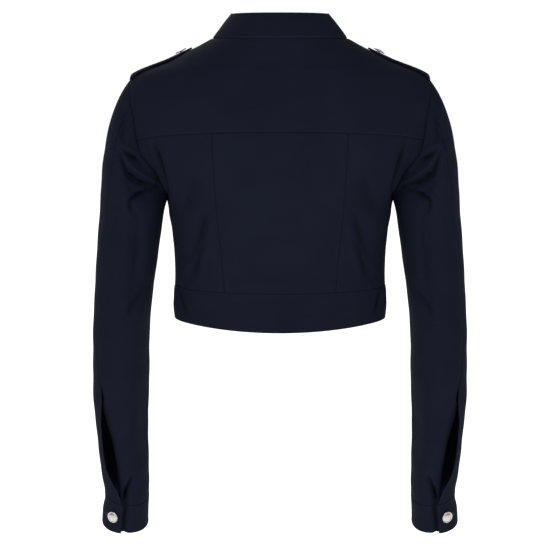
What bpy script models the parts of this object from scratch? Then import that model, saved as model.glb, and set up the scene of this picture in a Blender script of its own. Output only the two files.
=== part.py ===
"""A cropped, fitted jacket in dark cloth, filled out as if it were worn.

It has a stand collar, a back yoke, two back princess seams, a deep waistband, shoulder straps,
two-piece sleeves with an open vent, and cuffs that close with a metal button.

The frame: +Z is up, the front of the jacket faces -Y, and the wearer's left is at +X.
The origin lies between the shoulders, level with the collar seam at the back of the neck.
Sizes are in millimetres here, and MM turns them into Blender's metres.

Each cloth piece is a wall: a grid of points on the outer face of the garment, the same grid
moved in by the cloth's thickness, and a rim that joins the two.
"""

import math

import bmesh
import bpy
import numpy as np
from mathutils import Matrix, Vector

MM = 0.001
LEFT = 1.0
RIGHT = -1.0
QUARTER = math.pi / 2
FULL_TURN = 2 * math.pi

# Cloth thicknesses and seams.
CLOTH = 1.5
BAND_CLOTH = 2.2
COLLAR_CLOTH = 2.4
CUFF_CLOTH = 2.2
STRAP_CLOTH = 2.2
SEAM_INSET = 0.16
LAY_GAP = 0.35

# Levels of the body, measured down from the collar seam.
NECK_Z = 0.0
FRONT_NECK_Z = -60.0
SHOULDER_Z = -51.0
UNDERARM_Z = -205.0
YOKE_BACK_Z = -114.5
WAIST_SIDE_Z = -315.8
WAIST_BACK_Z = -319.0
WAIST_FRONT_Z = -318.0
HEM_SIDE_Z = -361.0
HEM_BACK_Z = -368.5
HEM_FRONT_Z = -365.0
YOKE_DROP_POWER = 2.2
HEM_DROP_POWER = 2.4

# The armhole seen from the side is an ellipse.
ARMHOLE_Z = (SHOULDER_Z + UNDERARM_Z) / 2
ARMHOLE_HALF_HEIGHT = (SHOULDER_Z - UNDERARM_Z) / 2
ARMHOLE_BACK_DEPTH = 49.5
ARMHOLE_FRONT_DEPTH = 53.0

# Level sections of the body. Fullness squares the corners of the ellipse a little.
# Between the shoulder and the underarm the half width is that of the whole round form,
# part of which the armhole cuts away.
BODY_COLUMNS = ("z", "half_width", "back_depth", "front_depth", "fullness")
BODY_SECTIONS = (
    (-400.0, 135.5, 88.0, 108.0, 0.0),
    (-368.0, 135.8, 87.0, 107.0, 0.0),
    (-357.0, 137.6, 85.5, 106.5, 0.005),
    (-343.0, 138.7, 84.0, 106.0, 0.015),
    (-326.0, 137.6, 83.0, 107.0, 0.025),
    (-306.0, 136.2, 85.0, 111.0, 0.032),
    (-286.0, 136.5, 91.0, 119.0, 0.035),
    (-266.0, 137.6, 97.5, 126.5, 0.040),
    (-246.0, 139.5, 103.0, 132.0, 0.040),
    (-227.0, 142.9, 108.0, 136.0, 0.040),
    (-214.0, 144.8, 110.5, 137.5, 0.040),
    (-205.0, 147.2, 112.0, 138.2, 0.040),
    (-197.5, 152.4, 113.0, 138.5, 0.040),
    (-181.5, 163.5, 114.5, 138.0, 0.040),
    (-168.5, 173.5, 115.0, 135.5, 0.038),
    (-156.5, 183.0, 115.0, 132.0, 0.034),
    (-142.0, 192.5, 114.5, 127.0, 0.030),
    (-111.5, 200.5, 110.5, 115.5, 0.025),
    (-81.5, 202.0, 104.0, 101.5, 0.020),
    (-62.0, 197.5, 98.0, 92.5, 0.010),
    (-51.0, 190.5, 94.0, 87.0, 0.0),
    (-43.7, 180.0, 91.0, 84.0, 0.0),
    (-38.8, 169.5, 89.0, 82.0, 0.0),
    (-34.0, 156.0, 86.5, 79.5, 0.0),
    (-29.0, 143.0, 84.0, 76.5, 0.0),
    (-24.5, 133.5, 82.0, 74.0, 0.0),
    (-19.5, 123.5, 80.0, 71.5, 0.0),
    (-10.0, 104.2, 76.0, 67.0, 0.0),
    (-5.0, 95.2, 74.0, 64.5, 0.0),
    (0.0, 86.3, 71.5, 62.0, 0.0),
    (8.0, 74.0, 66.0, 58.0, 0.0),
)

# The princess seam on the back, from the yoke seam down to the waistband.
PRINCESS_COLUMNS = ("z", "x")
PRINCESS_SEAM = (
    (-319.0, 70.5),
    (-265.0, 74.6),
    (-220.0, 78.6),
    (-183.0, 81.7),
    (-152.0, 83.6),
    (-114.5, 84.8),
)

# The neckline at the front, from the centre to the side of the neck.
NECKLINE_COLUMNS = ("share", "x", "z")
FRONT_NECKLINE = (
    (0.0, 0.0, -60.0),
    (0.16, 26.0, -57.0),
    (0.305, 46.5, -48.5),
    (0.455, 61.5, -35.0),
    (0.63, 74.0, -18.0),
    (0.8, 82.0, -6.5),
    (1.0, 86.3, 0.0),
)

# Sections of the sleeve below the armhole. Tilt turns a section to follow the bent forearm.
SLEEVE_COLUMNS = (
    "z", "centre_x", "half_width", "centre_y", "back_depth", "front_depth", "tilt_degrees",
)
SLEEVE_SECTIONS = (
    (-660.0, 206.7, 30.8, -42.0, 38.5, 38.5, 12.0),
    (-642.0, 206.7, 30.8, -37.5, 38.5, 38.5, 12.0),
    (-622.0, 205.6, 30.5, -33.0, 38.5, 38.5, 12.0),
    (-602.0, 203.2, 29.2, -28.0, 38.5, 39.0, 12.0),
    (-590.5, 203.3, 29.6, -26.0, 39.0, 39.5, 12.0),
    (-569.0, 204.7, 31.1, -21.0, 40.0, 40.5, 11.0),
    (-548.0, 205.7, 32.1, -17.0, 41.5, 42.0, 9.5),
    (-506.0, 207.1, 33.9, -10.5, 43.5, 44.5, 7.5),
    (-465.0, 207.8, 35.9, -5.5, 46.0, 47.0, 5.5),
    (-424.0, 207.5, 36.8, -2.0, 48.0, 49.5, 4.0),
    (-384.0, 206.8, 36.9, 0.5, 50.0, 52.0, 2.5),
    (-344.5, 204.3, 37.3, 1.5, 52.5, 54.0, 1.5),
    (-305.0, 200.6, 39.0, 1.5, 55.5, 57.0, 1.0),
    (-266.0, 196.4, 40.2, 1.0, 58.0, 59.5, 0.5),
    (-240.0, 193.5, 41.0, 0.0, 59.0, 61.0, 0.0),
)
CAP_RING_Z = -240.0
CUFF_SEAM_Z = -602.0
CUFF_HEM_Z = -642.0
SLEEVE_FULLNESS = 0.03

# Which way the sleeve's cloth leaves the armhole, at the top, the back, the underarm and the front.
CAP_DIRECTIONS = ("turn_degrees", "x", "y", "z")
CAP_LEAVES = (
    (0.0, 0.72, 0.34, -0.60),
    (90.0, 0.64, 0.0, -0.77),
    (180.0, 0.66, -0.40, -0.62),
    (270.0, 0.20, 0.0, -0.98),
    (360.0, 0.72, 0.34, -0.60),
)
CAP_REACH = 0.95

# Where the sleeve's seams and edges run. Degrees go from the back (0) to the outside (90),
# the front (180) and the inside (270). The vent opens where the edges part.
ARMHOLE_BACK_SEAM = 36.0
ARMHOLE_FRONT_SEAM = 210.0
FRONT_SEAM = 214.0
SEAM_COLUMNS = ("z", "upper_edge", "under_edge")
BACK_SEAM = (
    (-602.0, 8.0, 32.0),
    (-594.0, 13.0, 38.0),
    (-584.0, 19.0, 46.0),
    (-574.0, 29.0, 56.0),
    (-565.0, 38.0, 63.0),
    (-554.0, 44.0, 68.0),
    (-530.0, 47.0, 71.0),
    (-499.0, 46.0, 65.0),
    (-475.0, 40.0, 50.0),
    (-461.0, 38.0, 38.0),
    (-440.0, 41.0, 41.0),
    (-420.0, 46.0, 46.0),
    (-380.0, 53.0, 53.0),
    (-340.0, 55.0, 55.0),
    (-299.0, 53.0, 53.0),
    (-263.0, 48.0, 48.0),
    (-240.0, 43.0, 43.0),
)
CAP_SEAM_COLUMNS = ("station", "turn")
CAP_SEAM = ((0.0, 36.0), (0.14, 31.0), (0.3, 30.5), (0.45, 33.5), (0.6, 35.5), (0.8, 38.5), (1.0, 43.0))

# Laps: the layer on top lies this far out, falling to the same distance in, once round the arm.
LAP = 1.5
LAP_FULL_Z = -468.0
LAP_START_Z = -430.0
TAB_EDGE = 6.5
CUFF_UNDER_EDGE = 404.0
CUFF_HEM_SLANT = 2.5
CUFF_SEAM_RISE = 8.0
CUFF_SEAM_FALL = 3.0

# The hollow that the cloth makes under the open vent.
VENT_HOLLOW_COLUMNS = ("z", "depth")
VENT_HOLLOW = (
    (-600.0, 0.8),
    (-590.0, 4.5),
    (-573.0, 10.5),
    (-552.0, 13.0),
    (-522.0, 10.5),
    (-490.0, 5.0),
    (-462.0, 1.2),
    (-440.0, 0.0),
)
HOLLOW_START = 350.0
HOLLOW_FULL = 408.0

# The largest folds, as soft troughs on the face that is seen from behind: (x, z) along each.
FOLDS_ON_BODY = (
    {"name": "back armhole drape", "depth": 5.5, "width": 9.0, "behind": True,
     "line": ((166.0, -138.0), (163.0, -165.0), (158.0, -187.0), (151.0, -212.0))},
    {"name": "front armhole drape", "depth": 5.0, "width": 10.0, "behind": False,
     "line": ((158.0, -140.0), (156.0, -170.0), (152.0, -192.0), (146.0, -214.0))},
)
FOLDS_ON_SLEEVE = (
    {"name": "underarm crease", "depth": 6.0, "width": 9.0, "behind": True,
     "line": ((219.0, -145.0), (206.0, -164.0), (196.0, -176.0), (183.0, -188.0),
              (171.0, -195.0), (158.0, -199.0))},
    {"name": "inner arm drape", "depth": 4.0, "width": 13.0, "behind": True,
     "line": ((163.0, -206.0), (176.0, -214.0), (186.0, -228.0), (183.0, -250.0),
              (181.0, -275.0), (186.0, -305.0), (194.0, -330.0))},
    {"name": "front underarm crease", "depth": 5.5, "width": 10.0, "behind": False,
     "line": ((221.0, -150.0), (207.0, -172.0), (192.0, -186.0), (176.0, -196.0),
              (160.0, -201.0))},
    {"name": "front elbow crease", "depth": 4.0, "width": 12.0, "behind": False,
     "line": ((181.0, -352.0), (197.0, -366.0), (214.0, -374.0), (230.0, -376.0))},
)

# The under layer is pressed in beside the edge of the cuff's tab, as a trough along one turn.
TAB_TROUGH_TURN = 362.0
TAB_TROUGH_WIDTH = 7.0
TAB_TROUGH_DEPTH = 2.2
TAB_TROUGH_FROM_Z = -560.0
TAB_TROUGH_FULL_Z = -590.0

# The front opening, buttoned right over left.
FRONT_SHOULDER_ROW_Z = -96.0
EDGE_PULL = 3.0
FRONT_LAP = 15.0
FRONT_RISE = 2.7
RISE_FROM = 26.0
RISE_TO = 60.0
FRONT_BUTTONS = (-88.0, -150.0, -212.0, -274.0, -346.0)

COLLAR_HEIGHT = 40.5
COLLAR_LEAN_BACK = 37.0
COLLAR_LEAN_SIDE = 40.0
COLLAR_LEAN_FRONT = 17.0
COLLAR_END_GAP = 3.0
COLLAR_CORNER = 11.0
COLLAR_END_STEPS = (0.0, 1.2, 3.2, 6.5, 11.0)

STRAP_FROM_X = 189.0
STRAP_TO_X = 112.0
STRAP_HALF_WIDTH = 21.0
STRAP_TIP_HALF_WIDTH = 17.0
STRAP_POINT = 13.0
STRAP_POINT_HALF_WIDTH = 4.0
STRAP_LIFT = 0.6
STRAP_END_LIFT = 1.2
STRAP_BUTTON_X = 125.0

BUTTON_RADIUS = 7.7
BUTTON_POST_RADIUS = 3.0
BUTTON_POST = 0.5
BUTTON_RIM = 1.1
BUTTON_DOME = 1.5
BUTTON_STEPS = 18
CUFF_BUTTON_TURN = 27.0
CUFF_BUTTON_SHARE = 0.42

# How finely the pieces are divided.
SIDE_ROWS = 7
RIDGE_ROWS = 7
BAND_ROWS = 3
CENTRE_COLUMNS = 4
SIDE_COLUMNS = 6
FRONT_COLUMNS = 9
COLLAR_ROWS = 3
CAP_ROWS = 11
ARM_ROWS = 22
CUFF_ROWS = 3
CUFF_COLUMNS = 24
STRAP_ROWS = 7
STRAP_COLUMNS = 4
UPPER_TURNS = (0.0, 12.0, 24.0, 36.0, 54.0, 72.0, 90.0)
LOWER_TURNS = (0.0, 15.0, 30.0, 45.0, 60.0, 75.0, 90.0)

COLOURS = {
    "suiting": ((0.0103, 0.0116, 0.0222, 1.0), 0.85, 0.0),
    "button_metal": ((0.62, 0.60, 0.58, 1.0), 0.32, 1.0),
}


def column(table, names, wanted):
    """One named column of a table, with the rows put in order of the first column."""
    rows = np.array(sorted(table))
    return rows[:, 0], rows[:, names.index(wanted)]


def along(knots, values, at):
    """A smooth curve through the knots that never swings past them (monotone cubic)."""
    at = np.asarray(at, float)
    steps = np.diff(knots)
    slopes = np.diff(values) / steps
    tangents = np.concatenate([slopes[:1], np.zeros(len(knots) - 2), slopes[-1:]])
    same_way = slopes[:-1] * slopes[1:] > 0
    before = np.where(same_way, slopes[:-1], 1.0)
    after = np.where(same_way, slopes[1:], 1.0)
    weight_before = steps[:-1] + 2 * steps[1:]
    weight_after = 2 * steps[:-1] + steps[1:]
    mean = (weight_before + weight_after) / (weight_before / before + weight_after / after)
    tangents[1:-1] = np.where(same_way, mean, 0.0)
    i = np.clip(np.searchsorted(knots, at) - 1, 0, len(steps) - 1)
    h = steps[i]
    t = np.clip((at - knots[i]) / h, 0.0, 1.0)
    return (
        (2 * t**3 - 3 * t**2 + 1) * values[i]
        + (t**3 - 2 * t**2 + t) * h * tangents[i]
        + (3 * t**2 - 2 * t**3) * values[i + 1]
        + (t**3 - t**2) * h * tangents[i + 1]
    )


def table_at(table, names, wanted, at):
    knots, values = column(table, names, wanted)
    return along(knots, values, at)


def ease(value, start, end):
    """0 before start, 1 after end, and a smooth step between them."""
    t = np.clip((np.asarray(value, float) - start) / (end - start), 0.0, 1.0)
    return t * t * (3 - 2 * t)


def unit(vectors):
    return vectors / np.maximum(np.linalg.norm(vectors, axis=-1, keepdims=True), 1e-12)


def body_section(z):
    return [table_at(BODY_SECTIONS, BODY_COLUMNS, name, z) for name in BODY_COLUMNS[1:]]


def body_form(turn, z):
    """A point of the smooth body. Turn 0 is the centre back, a quarter the side, a half the front."""
    turn, z = np.broadcast_arrays(np.asarray(turn, float), np.asarray(z, float))
    half_width, back, front, fullness = body_section(z)
    depth = np.where(np.cos(turn) >= 0, back, front)
    full = 1 + fullness * np.sin(2 * turn) ** 2
    return np.stack([half_width * np.sin(turn) * full, depth * np.cos(turn) * full, z], -1)


def surface_normal(form, u, v, du, dv):
    """The outward normal of a two-parameter surface, from small steps each way."""
    across = form(u + du, v) - form(u - du, v)
    down = form(u, v + dv) - form(u, v - dv)
    return unit(np.cross(down, across))


def body_normal(turn, z):
    turn, z = np.broadcast_arrays(np.asarray(turn, float), np.asarray(z, float))
    return surface_normal(body_form, turn, z, 0.01, 0.4)


def turn_where(reach, wanted, low, high):
    """The turn between low and high at which reach(turn) has the wanted value, by halving."""
    wanted = np.asarray(wanted, float)
    low = np.full(wanted.shape, float(low))
    high = np.full(wanted.shape, float(high))
    rising = reach(high) > reach(low)
    for _ in range(40):
        middle = (low + high) / 2
        past = (reach(middle) > wanted) == rising
        high = np.where(past, middle, high)
        low = np.where(past, low, middle)
    return (low + high) / 2


def turn_at_x(x, z, front):
    start = math.pi if front else 0.0
    return turn_where(lambda turn: body_form(turn, z)[..., 0], x, start, QUARTER)


def armhole_edge(turn_degrees):
    """(body turn, z) on the armhole. 0 is its back, 90 the shoulder, 180 the front, 270 the underarm."""
    around = np.radians(np.asarray(turn_degrees, float))
    z = ARMHOLE_Z + ARMHOLE_HALF_HEIGHT * np.sin(around)
    z = np.clip(z, UNDERARM_Z, SHOULDER_Z)
    depth = np.where(np.cos(around) >= 0, ARMHOLE_BACK_DEPTH, ARMHOLE_FRONT_DEPTH)
    y = depth * np.cos(around)
    back = turn_where(lambda turn: body_form(turn, z)[..., 1], np.maximum(y, 0), 0.3, QUARTER)
    front = turn_where(
        lambda turn: body_form(turn, z)[..., 1], np.minimum(y, 0), math.pi - 0.3, QUARTER
    )
    return np.where(y >= 0, back, front), z


def distance_to_line(points, line):
    """How far each (x, z) point is from a polyline, and how far along it, from 0 to 1."""
    line = np.array(line, float)
    lengths = np.linalg.norm(np.diff(line, axis=0), axis=1)
    starts = np.concatenate([[0.0], np.cumsum(lengths)])
    best = np.full(points.shape[:-1], np.inf)
    share = np.zeros(points.shape[:-1])
    for start, end, length, before in zip(line[:-1], line[1:], lengths, starts):
        t = np.clip(((points - start) @ (end - start)) / length**2, 0.0, 1.0)
        away = np.linalg.norm(points - start - t[..., None] * (end - start), axis=-1)
        nearer = away < best
        best = np.where(nearer, away, best)
        share = np.where(nearer, (before + t * length) / starts[-1], share)
    return best, share


def fold_depth(points, middle_y, folds):
    """How far the folds press the cloth in at each point, from the back or the front."""
    pressed = np.zeros(points.shape[:-1])
    for fold in folds:
        away, share = distance_to_line(points[..., [0, 2]], fold["line"])
        ends = np.sin(math.pi * np.clip(share, 0.02, 0.98)) ** 0.6
        side = (points[..., 1] - middle_y) * (1 if fold["behind"] else -1)
        trough = fold["depth"] * np.exp(-((away / fold["width"]) ** 2))
        pressed += trough * ends * ease(side, 0.0, 12.0)
    return pressed


def body_cloth(turn, z):
    """(points, normals) of the outer face of the body's cloth, folds included."""
    points, normals = body_form(turn, z), body_normal(turn, z)
    pressed = fold_depth(points, 0.0, FOLDS_ON_BODY)
    return points - normals * pressed[..., None], normals


def sleeve_ring(turn_degrees, z):
    """A point on the level ring of the sleeve at height z of its middle."""
    turn_degrees, z = np.broadcast_arrays(np.asarray(turn_degrees, float), np.asarray(z, float))
    turn = np.radians(turn_degrees)
    centre_x, half_width, centre_y, back, front, tilt = (
        table_at(SLEEVE_SECTIONS, SLEEVE_COLUMNS, name, z) for name in SLEEVE_COLUMNS[1:]
    )
    full = 1 + SLEEVE_FULLNESS * np.sin(2 * turn) ** 2
    x = half_width * np.sin(turn) * full
    y = np.where(np.cos(turn) >= 0, back, front) * np.cos(turn) * full
    return np.stack([centre_x + x, centre_y + y, z - np.tan(np.radians(tilt)) * y], -1)


def sleeve_form(turn_degrees, station):
    """A point of the smooth sleeve. Station 0 to 1 is the cap, and below it a station is 1 plus
    the distance down from the cap's ring."""
    turn_degrees, station = np.broadcast_arrays(
        np.asarray(turn_degrees, float), np.asarray(station, float)
    )
    ring_z = np.minimum(CAP_RING_Z - (station - 1) * 1.0, CAP_RING_Z)
    below = sleeve_ring(turn_degrees, ring_z)
    t = np.clip(station, 0.0, 1.0)[..., None]
    start = armhole_point(turn_degrees)
    end = sleeve_ring(turn_degrees, CAP_RING_Z)
    knots = np.array([row[0] for row in CAP_LEAVES])
    leaves = unit(np.stack(
        [
            along(knots, np.array([row[i] for row in CAP_LEAVES]), np.mod(turn_degrees, 360.0))
            for i in (1, 2, 3)
        ],
        -1,
    ))
    arrives = unit(sleeve_ring(turn_degrees, CAP_RING_Z - 10.0) - end)
    reach = CAP_REACH * np.linalg.norm(end - start, axis=-1, keepdims=True)
    cap = (
        (2 * t**3 - 3 * t**2 + 1) * start
        + (t**3 - 2 * t**2 + t) * reach * leaves
        + (3 * t**2 - 2 * t**3) * end
        + (t**3 - t**2) * reach * arrives
    )
    return np.where((station <= 1.0)[..., None], cap, below)


def armhole_point(turn_degrees):
    """The armhole's seam, pressed in where the body's folds run up to it."""
    turn, z = armhole_edge(turn_degrees)
    points = body_form(turn, z)
    pressed = fold_depth(points, 0.0, FOLDS_ON_BODY)
    return points - body_normal(turn, z) * pressed[..., None]


def sleeve_normal(turn_degrees, station):
    turn_degrees, station = np.broadcast_arrays(
        np.asarray(turn_degrees, float), np.asarray(station, float)
    )
    step = np.where(station < 1.0, 0.01, 1.0)
    low = np.maximum(station - step, 0.0)
    down = sleeve_form(turn_degrees, station + step) - sleeve_form(turn_degrees, low)
    across = sleeve_form(turn_degrees + 1.0, station) - sleeve_form(turn_degrees - 1.0, station)
    return unit(np.cross(across, down))


def seam_normal(turn_degrees):
    """The normal that the body and the sleeve share along the armhole."""
    return unit(body_normal(*armhole_edge(turn_degrees)) + sleeve_normal(turn_degrees, 0.0))


def tab_trough(turn_degrees, z):
    across = np.exp(-(((turn_degrees - TAB_TROUGH_TURN) / TAB_TROUGH_WIDTH) ** 2))
    return TAB_TROUGH_DEPTH * across * ease(z, TAB_TROUGH_FROM_Z, TAB_TROUGH_FULL_Z)


def sleeve_cloth(turn_degrees, station):
    """(points, normals) of the outer face of the sleeve's cloth: laps, hollow and folds."""
    turn_degrees, station = np.broadcast_arrays(
        np.asarray(turn_degrees, float), np.asarray(station, float)
    )
    z = CAP_RING_Z - (np.maximum(station, 1.0) - 1.0)
    points, normals = sleeve_form(turn_degrees, station), sleeve_normal(turn_degrees, station)
    lap = LAP - 2 * LAP * (turn_degrees - TAB_EDGE) / 360.0
    lap = lap * ease(z, LAP_START_Z, LAP_FULL_Z)
    hollow = table_at(VENT_HOLLOW, VENT_HOLLOW_COLUMNS, "depth", z)
    hollow = hollow * ease(turn_degrees, HOLLOW_START, HOLLOW_FULL) * (station > 1.0)
    middle_y = np.where(
        station > 1.0, table_at(SLEEVE_SECTIONS, SLEEVE_COLUMNS, "centre_y", z), 0.0
    )
    pressed = fold_depth(points, middle_y, FOLDS_ON_SLEEVE) * ease(station, 0.0, 0.25)
    pressed = pressed + tab_trough(turn_degrees, z)
    points = points + normals * (lap - hollow - pressed)[..., None]
    near_seam = (1 - ease(station, 0.0, 0.12))[..., None]
    return points, unit(normals * (1 - near_seam) + seam_normal(turn_degrees) * near_seam)


def edge_in(grid, lines, step):
    """Moves the grid's border in by step along the lines that run away from it."""
    out = grid.copy()
    for border, inner in ((0, 1), (-1, -2)):
        out[border] += unit(lines[inner] - lines[border]) * step
        out[:, border] += unit(lines[:, inner] - lines[:, border]) * step
    return out


def add_mesh(name, vertices, faces, material):
    mesh = bpy.data.meshes.new(name)
    mesh.from_pydata([tuple(v) for v in vertices], [], faces)
    mesh.materials.append(material)
    mesh.shade_smooth()
    mesh.set_sharp_from_angle(angle=math.radians(50))
    obj = bpy.data.objects.new(name, mesh)
    bpy.context.scene.collection.objects.link(obj)
    return obj


def wall(name, points, normals, thickness, material, side=LEFT, inset=SEAM_INSET):
    """A closed wall of cloth: its outer grid, its inner grid and the rim between them."""
    outer = edge_in(points, points, inset)
    inner = edge_in(points - normals * thickness, points, inset)
    mirror = np.array([side, 1.0, 1.0]) * MM
    rows, columns = points.shape[:2]
    count = rows * columns
    vertices = np.concatenate([outer.reshape(-1, 3), inner.reshape(-1, 3)]) * mirror
    faces = []
    for i in range(rows - 1):
        for j in range(columns - 1):
            a, b = i * columns + j, i * columns + j + 1
            c, d = b + columns, a + columns
            faces.append((a, b, c, d))
            faces.append((d + count, c + count, b + count, a + count))
    border = [j for j in range(columns)]
    border += [i * columns + columns - 1 for i in range(1, rows)]
    border += [(rows - 1) * columns + j for j in range(columns - 2, -1, -1)]
    border += [i * columns for i in range(rows - 2, 0, -1)]
    for a, b in zip(border, border[1:] + border[:1]):
        faces.append((b, a, a + count, b + count))
    obj = add_mesh(name, vertices, faces, material)
    face_out(obj)
    return obj


def face_out(obj):
    """Turns all faces the same way, outwards, whichever way the grid ran."""
    bm = bmesh.new()
    bm.from_mesh(obj.data)
    bmesh.ops.recalc_face_normals(bm, faces=bm.faces)
    if bm.calc_volume(signed=True) < 0:
        bmesh.ops.reverse_faces(bm, faces=bm.faces)
    bm.to_mesh(obj.data)
    bm.free()


def side_edge_rows(front):
    """(body turns, z) of the rows where they meet the side, the armhole and the shoulder."""
    side_z = np.linspace(WAIST_SIDE_Z, UNDERARM_Z, SIDE_ROWS + 1)[:-1]
    if front:
        lower = [180.0 + a for a in reversed(LOWER_TURNS)]
        upper = [180.0 - a for a in UPPER_TURNS[1:]]
    else:
        lower = [-a for a in reversed(LOWER_TURNS)]
        upper = list(UPPER_TURNS[1:])
    arm_turn, arm_z = armhole_edge(np.array(lower + upper))
    ridge_z = np.linspace(SHOULDER_Z, NECK_Z, RIDGE_ROWS + 1)[1:]
    turns = np.concatenate([np.full(SIDE_ROWS, QUARTER), arm_turn, np.full(RIDGE_ROWS, QUARTER)])
    return turns, np.concatenate([side_z, arm_z, ridge_z]), np.array(lower + upper)


def with_seam_normals(normals, arm_turns, first_row):
    """Gives the rows that end on the armhole the normal that the sleeve has there too."""
    last = first_row + len(arm_turns)
    rows = slice(max(first_row, 0), min(last, len(normals)))
    shared = seam_normal(arm_turns)[rows.start - first_row: rows.stop - first_row]
    normals[rows, -1] = shared
    return normals


def back_grids():
    """The half grid (rows, columns) of turns and heights of the back, and its yoke row."""
    edge_turn, edge_z, arm_turns = side_edge_rows(front=False)
    yoke_row = SIDE_ROWS + len(LOWER_TURNS) - 1
    rows = len(edge_z)
    centre_z = np.concatenate([
        np.linspace(WAIST_BACK_Z, YOKE_BACK_Z, yoke_row + 1),
        np.linspace(YOKE_BACK_Z, NECK_Z, rows - yoke_row)[1:],
    ])
    seam_z = np.clip(centre_z, WAIST_BACK_Z, YOKE_BACK_Z)
    seam_x = table_at(PRINCESS_SEAM, PRINCESS_COLUMNS, "x", seam_z)
    seam_turn = turn_at_x(seam_x, seam_z, front=False)
    seam_share = seam_turn / edge_turn
    seam_share[yoke_row:] = seam_share[yoke_row]
    inner = np.linspace(0, 1, CENTRE_COLUMNS + 1)[:-1] * seam_share[:, None]
    outer = seam_share[:, None] + (1 - seam_share[:, None]) * np.linspace(0, 1, SIDE_COLUMNS + 1)
    share = np.concatenate([inner, outer], axis=1)
    weight = share**YOKE_DROP_POWER
    z = centre_z[:, None] * (1 - weight) + edge_z[:, None] * weight
    return share * edge_turn[:, None], z, yoke_row, arm_turns


def mirrored(turn, z):
    """A half grid and its mirror image as one grid across the centre back."""
    return (
        np.concatenate([-turn[:, :0:-1], turn], axis=1),
        np.concatenate([z[:, :0:-1], z], axis=1),
    )


def both_sides(normals):
    """Copies the seam normals of the last column to the first, mirrored."""
    normals[:, 0] = normals[:, -1] * np.array([-1.0, 1.0, 1.0])
    return normals


def mirror_cloth(turn, z):
    """body_cloth for turns on either side of the centre."""
    points, normals = body_cloth(np.abs(turn), z)
    flip = np.where(turn < 0, -1.0, 1.0)[..., None] * np.array([1.0, 0, 0])
    flip = flip + np.array([0, 1.0, 1.0])
    return points * flip, normals * flip


def build_back(cloth):
    turn, z, yoke_row, arm_turns = back_grids()
    whole_turn, whole_z = mirrored(turn, z)
    points, normals = mirror_cloth(whole_turn[yoke_row:], whole_z[yoke_row:])
    normals = with_seam_normals(normals, arm_turns, SIDE_ROWS - yoke_row)
    wall("back_yoke", points, both_sides(normals), CLOTH, cloth)

    middle = slice(SIDE_COLUMNS, SIDE_COLUMNS + 2 * CENTRE_COLUMNS + 1)
    points, normals = mirror_cloth(
        whole_turn[: yoke_row + 1, middle], whole_z[: yoke_row + 1, middle]
    )
    wall("back_centre", points, normals, CLOTH, cloth)

    points, normals = body_cloth(
        turn[: yoke_row + 1, CENTRE_COLUMNS:], z[: yoke_row + 1, CENTRE_COLUMNS:]
    )
    normals = with_seam_normals(normals, arm_turns, SIDE_ROWS)
    for side, word in ((LEFT, "left"), (RIGHT, "right")):
        wall(f"back_side_{word}", points, normals, CLOTH, cloth, side)
    return turn[-1]


def neckline(share):
    """(body turn, z) on the front neckline, from the centre (0) to the side of the neck (1)."""
    x = table_at(FRONT_NECKLINE, NECKLINE_COLUMNS, "x", share)
    z = table_at(FRONT_NECKLINE, NECKLINE_COLUMNS, "z", share)
    turn = turn_at_x(x, z, front=True)
    turn = np.where(np.asarray(share) >= 1.0, QUARTER, turn)
    return np.where(np.asarray(share) <= 0.0, math.pi, turn), z


def front_grid():
    """The grid of turns and heights of one front, blended inwards from its four edges."""
    edge_turn, edge_z, arm_turns = side_edge_rows(front=True)
    v = np.linspace(0, 1, len(edge_z))[:, None]
    u = np.linspace(0, 1, FRONT_COLUMNS + 1)[None, :]
    shoulder_row = len(edge_z) - 1 - RIDGE_ROWS
    centre_z = np.concatenate([
        np.linspace(WAIST_FRONT_Z, FRONT_SHOULDER_ROW_Z, shoulder_row + 1),
        np.linspace(FRONT_SHOULDER_ROW_Z, FRONT_NECK_Z, RIDGE_ROWS + 1)[1:],
    ])
    neck_turn, neck_z = neckline(u[0])
    even_turn = math.pi - QUARTER * u
    turn = (1 - v) * even_turn + v * neck_turn[None, :]
    turn = turn + u**EDGE_PULL * (edge_turn[:, None] - QUARTER)
    z = (1 - v) * waist_z(even_turn) + v * neck_z[None, :]
    even_centre = (1 - v) * WAIST_FRONT_Z + v * FRONT_NECK_Z
    even_edge = (1 - v) * WAIST_SIDE_Z + v * NECK_Z
    z = z + (1 - u) * (centre_z[:, None] - even_centre) + u * (edge_z[:, None] - even_edge)
    return turn, z, arm_turns


def with_lap(turn, z):
    """The same grid with two more columns at its start, which run past the centre front."""
    half_width = body_section(z[:, :1])[0]
    past = math.pi + np.arcsin(FRONT_LAP * np.array([[1.0, 0.5]]) / half_width)
    return np.concatenate([past, turn], axis=1), np.concatenate([z[:, [0, 0]], z], axis=1)


def raised(points, normals):
    """The lapped piece moved out near its edge, over the one below it."""
    out = FRONT_RISE * (1 - ease(points[..., 0], RISE_FROM, RISE_TO))
    return points + normals * out[..., None]


def build_fronts(cloth):
    turn, z, arm_turns = front_grid()
    points, normals = body_cloth(*with_lap(turn, z))
    normals = with_seam_normals(normals, arm_turns, SIDE_ROWS)
    wall("front_left", points, normals, CLOTH, cloth, LEFT)
    wall("front_right", raised(points, normals), normals, CLOTH, cloth, RIGHT)
    return points[-1, 2:], normals[-1, 2:]


def waist_z(turn):
    """The height of the waistband's seam round the body."""
    end = np.where(np.cos(turn) >= 0, WAIST_BACK_Z, WAIST_FRONT_Z)
    return WAIST_SIDE_Z + (end - WAIST_SIDE_Z) * np.abs(np.cos(turn)) ** YOKE_DROP_POWER


def hem_z(turn):
    end = np.where(np.cos(turn) >= 0, HEM_BACK_Z, HEM_FRONT_Z)
    return HEM_SIDE_Z + (end - HEM_SIDE_Z) * np.abs(np.cos(turn)) ** HEM_DROP_POWER


def band_rows(turn, top_z):
    share = np.linspace(0, 1, BAND_ROWS + 1)[:, None]
    return np.repeat(turn[None, :], BAND_ROWS + 1, 0), hem_z(turn) * (1 - share) + top_z * share


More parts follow.
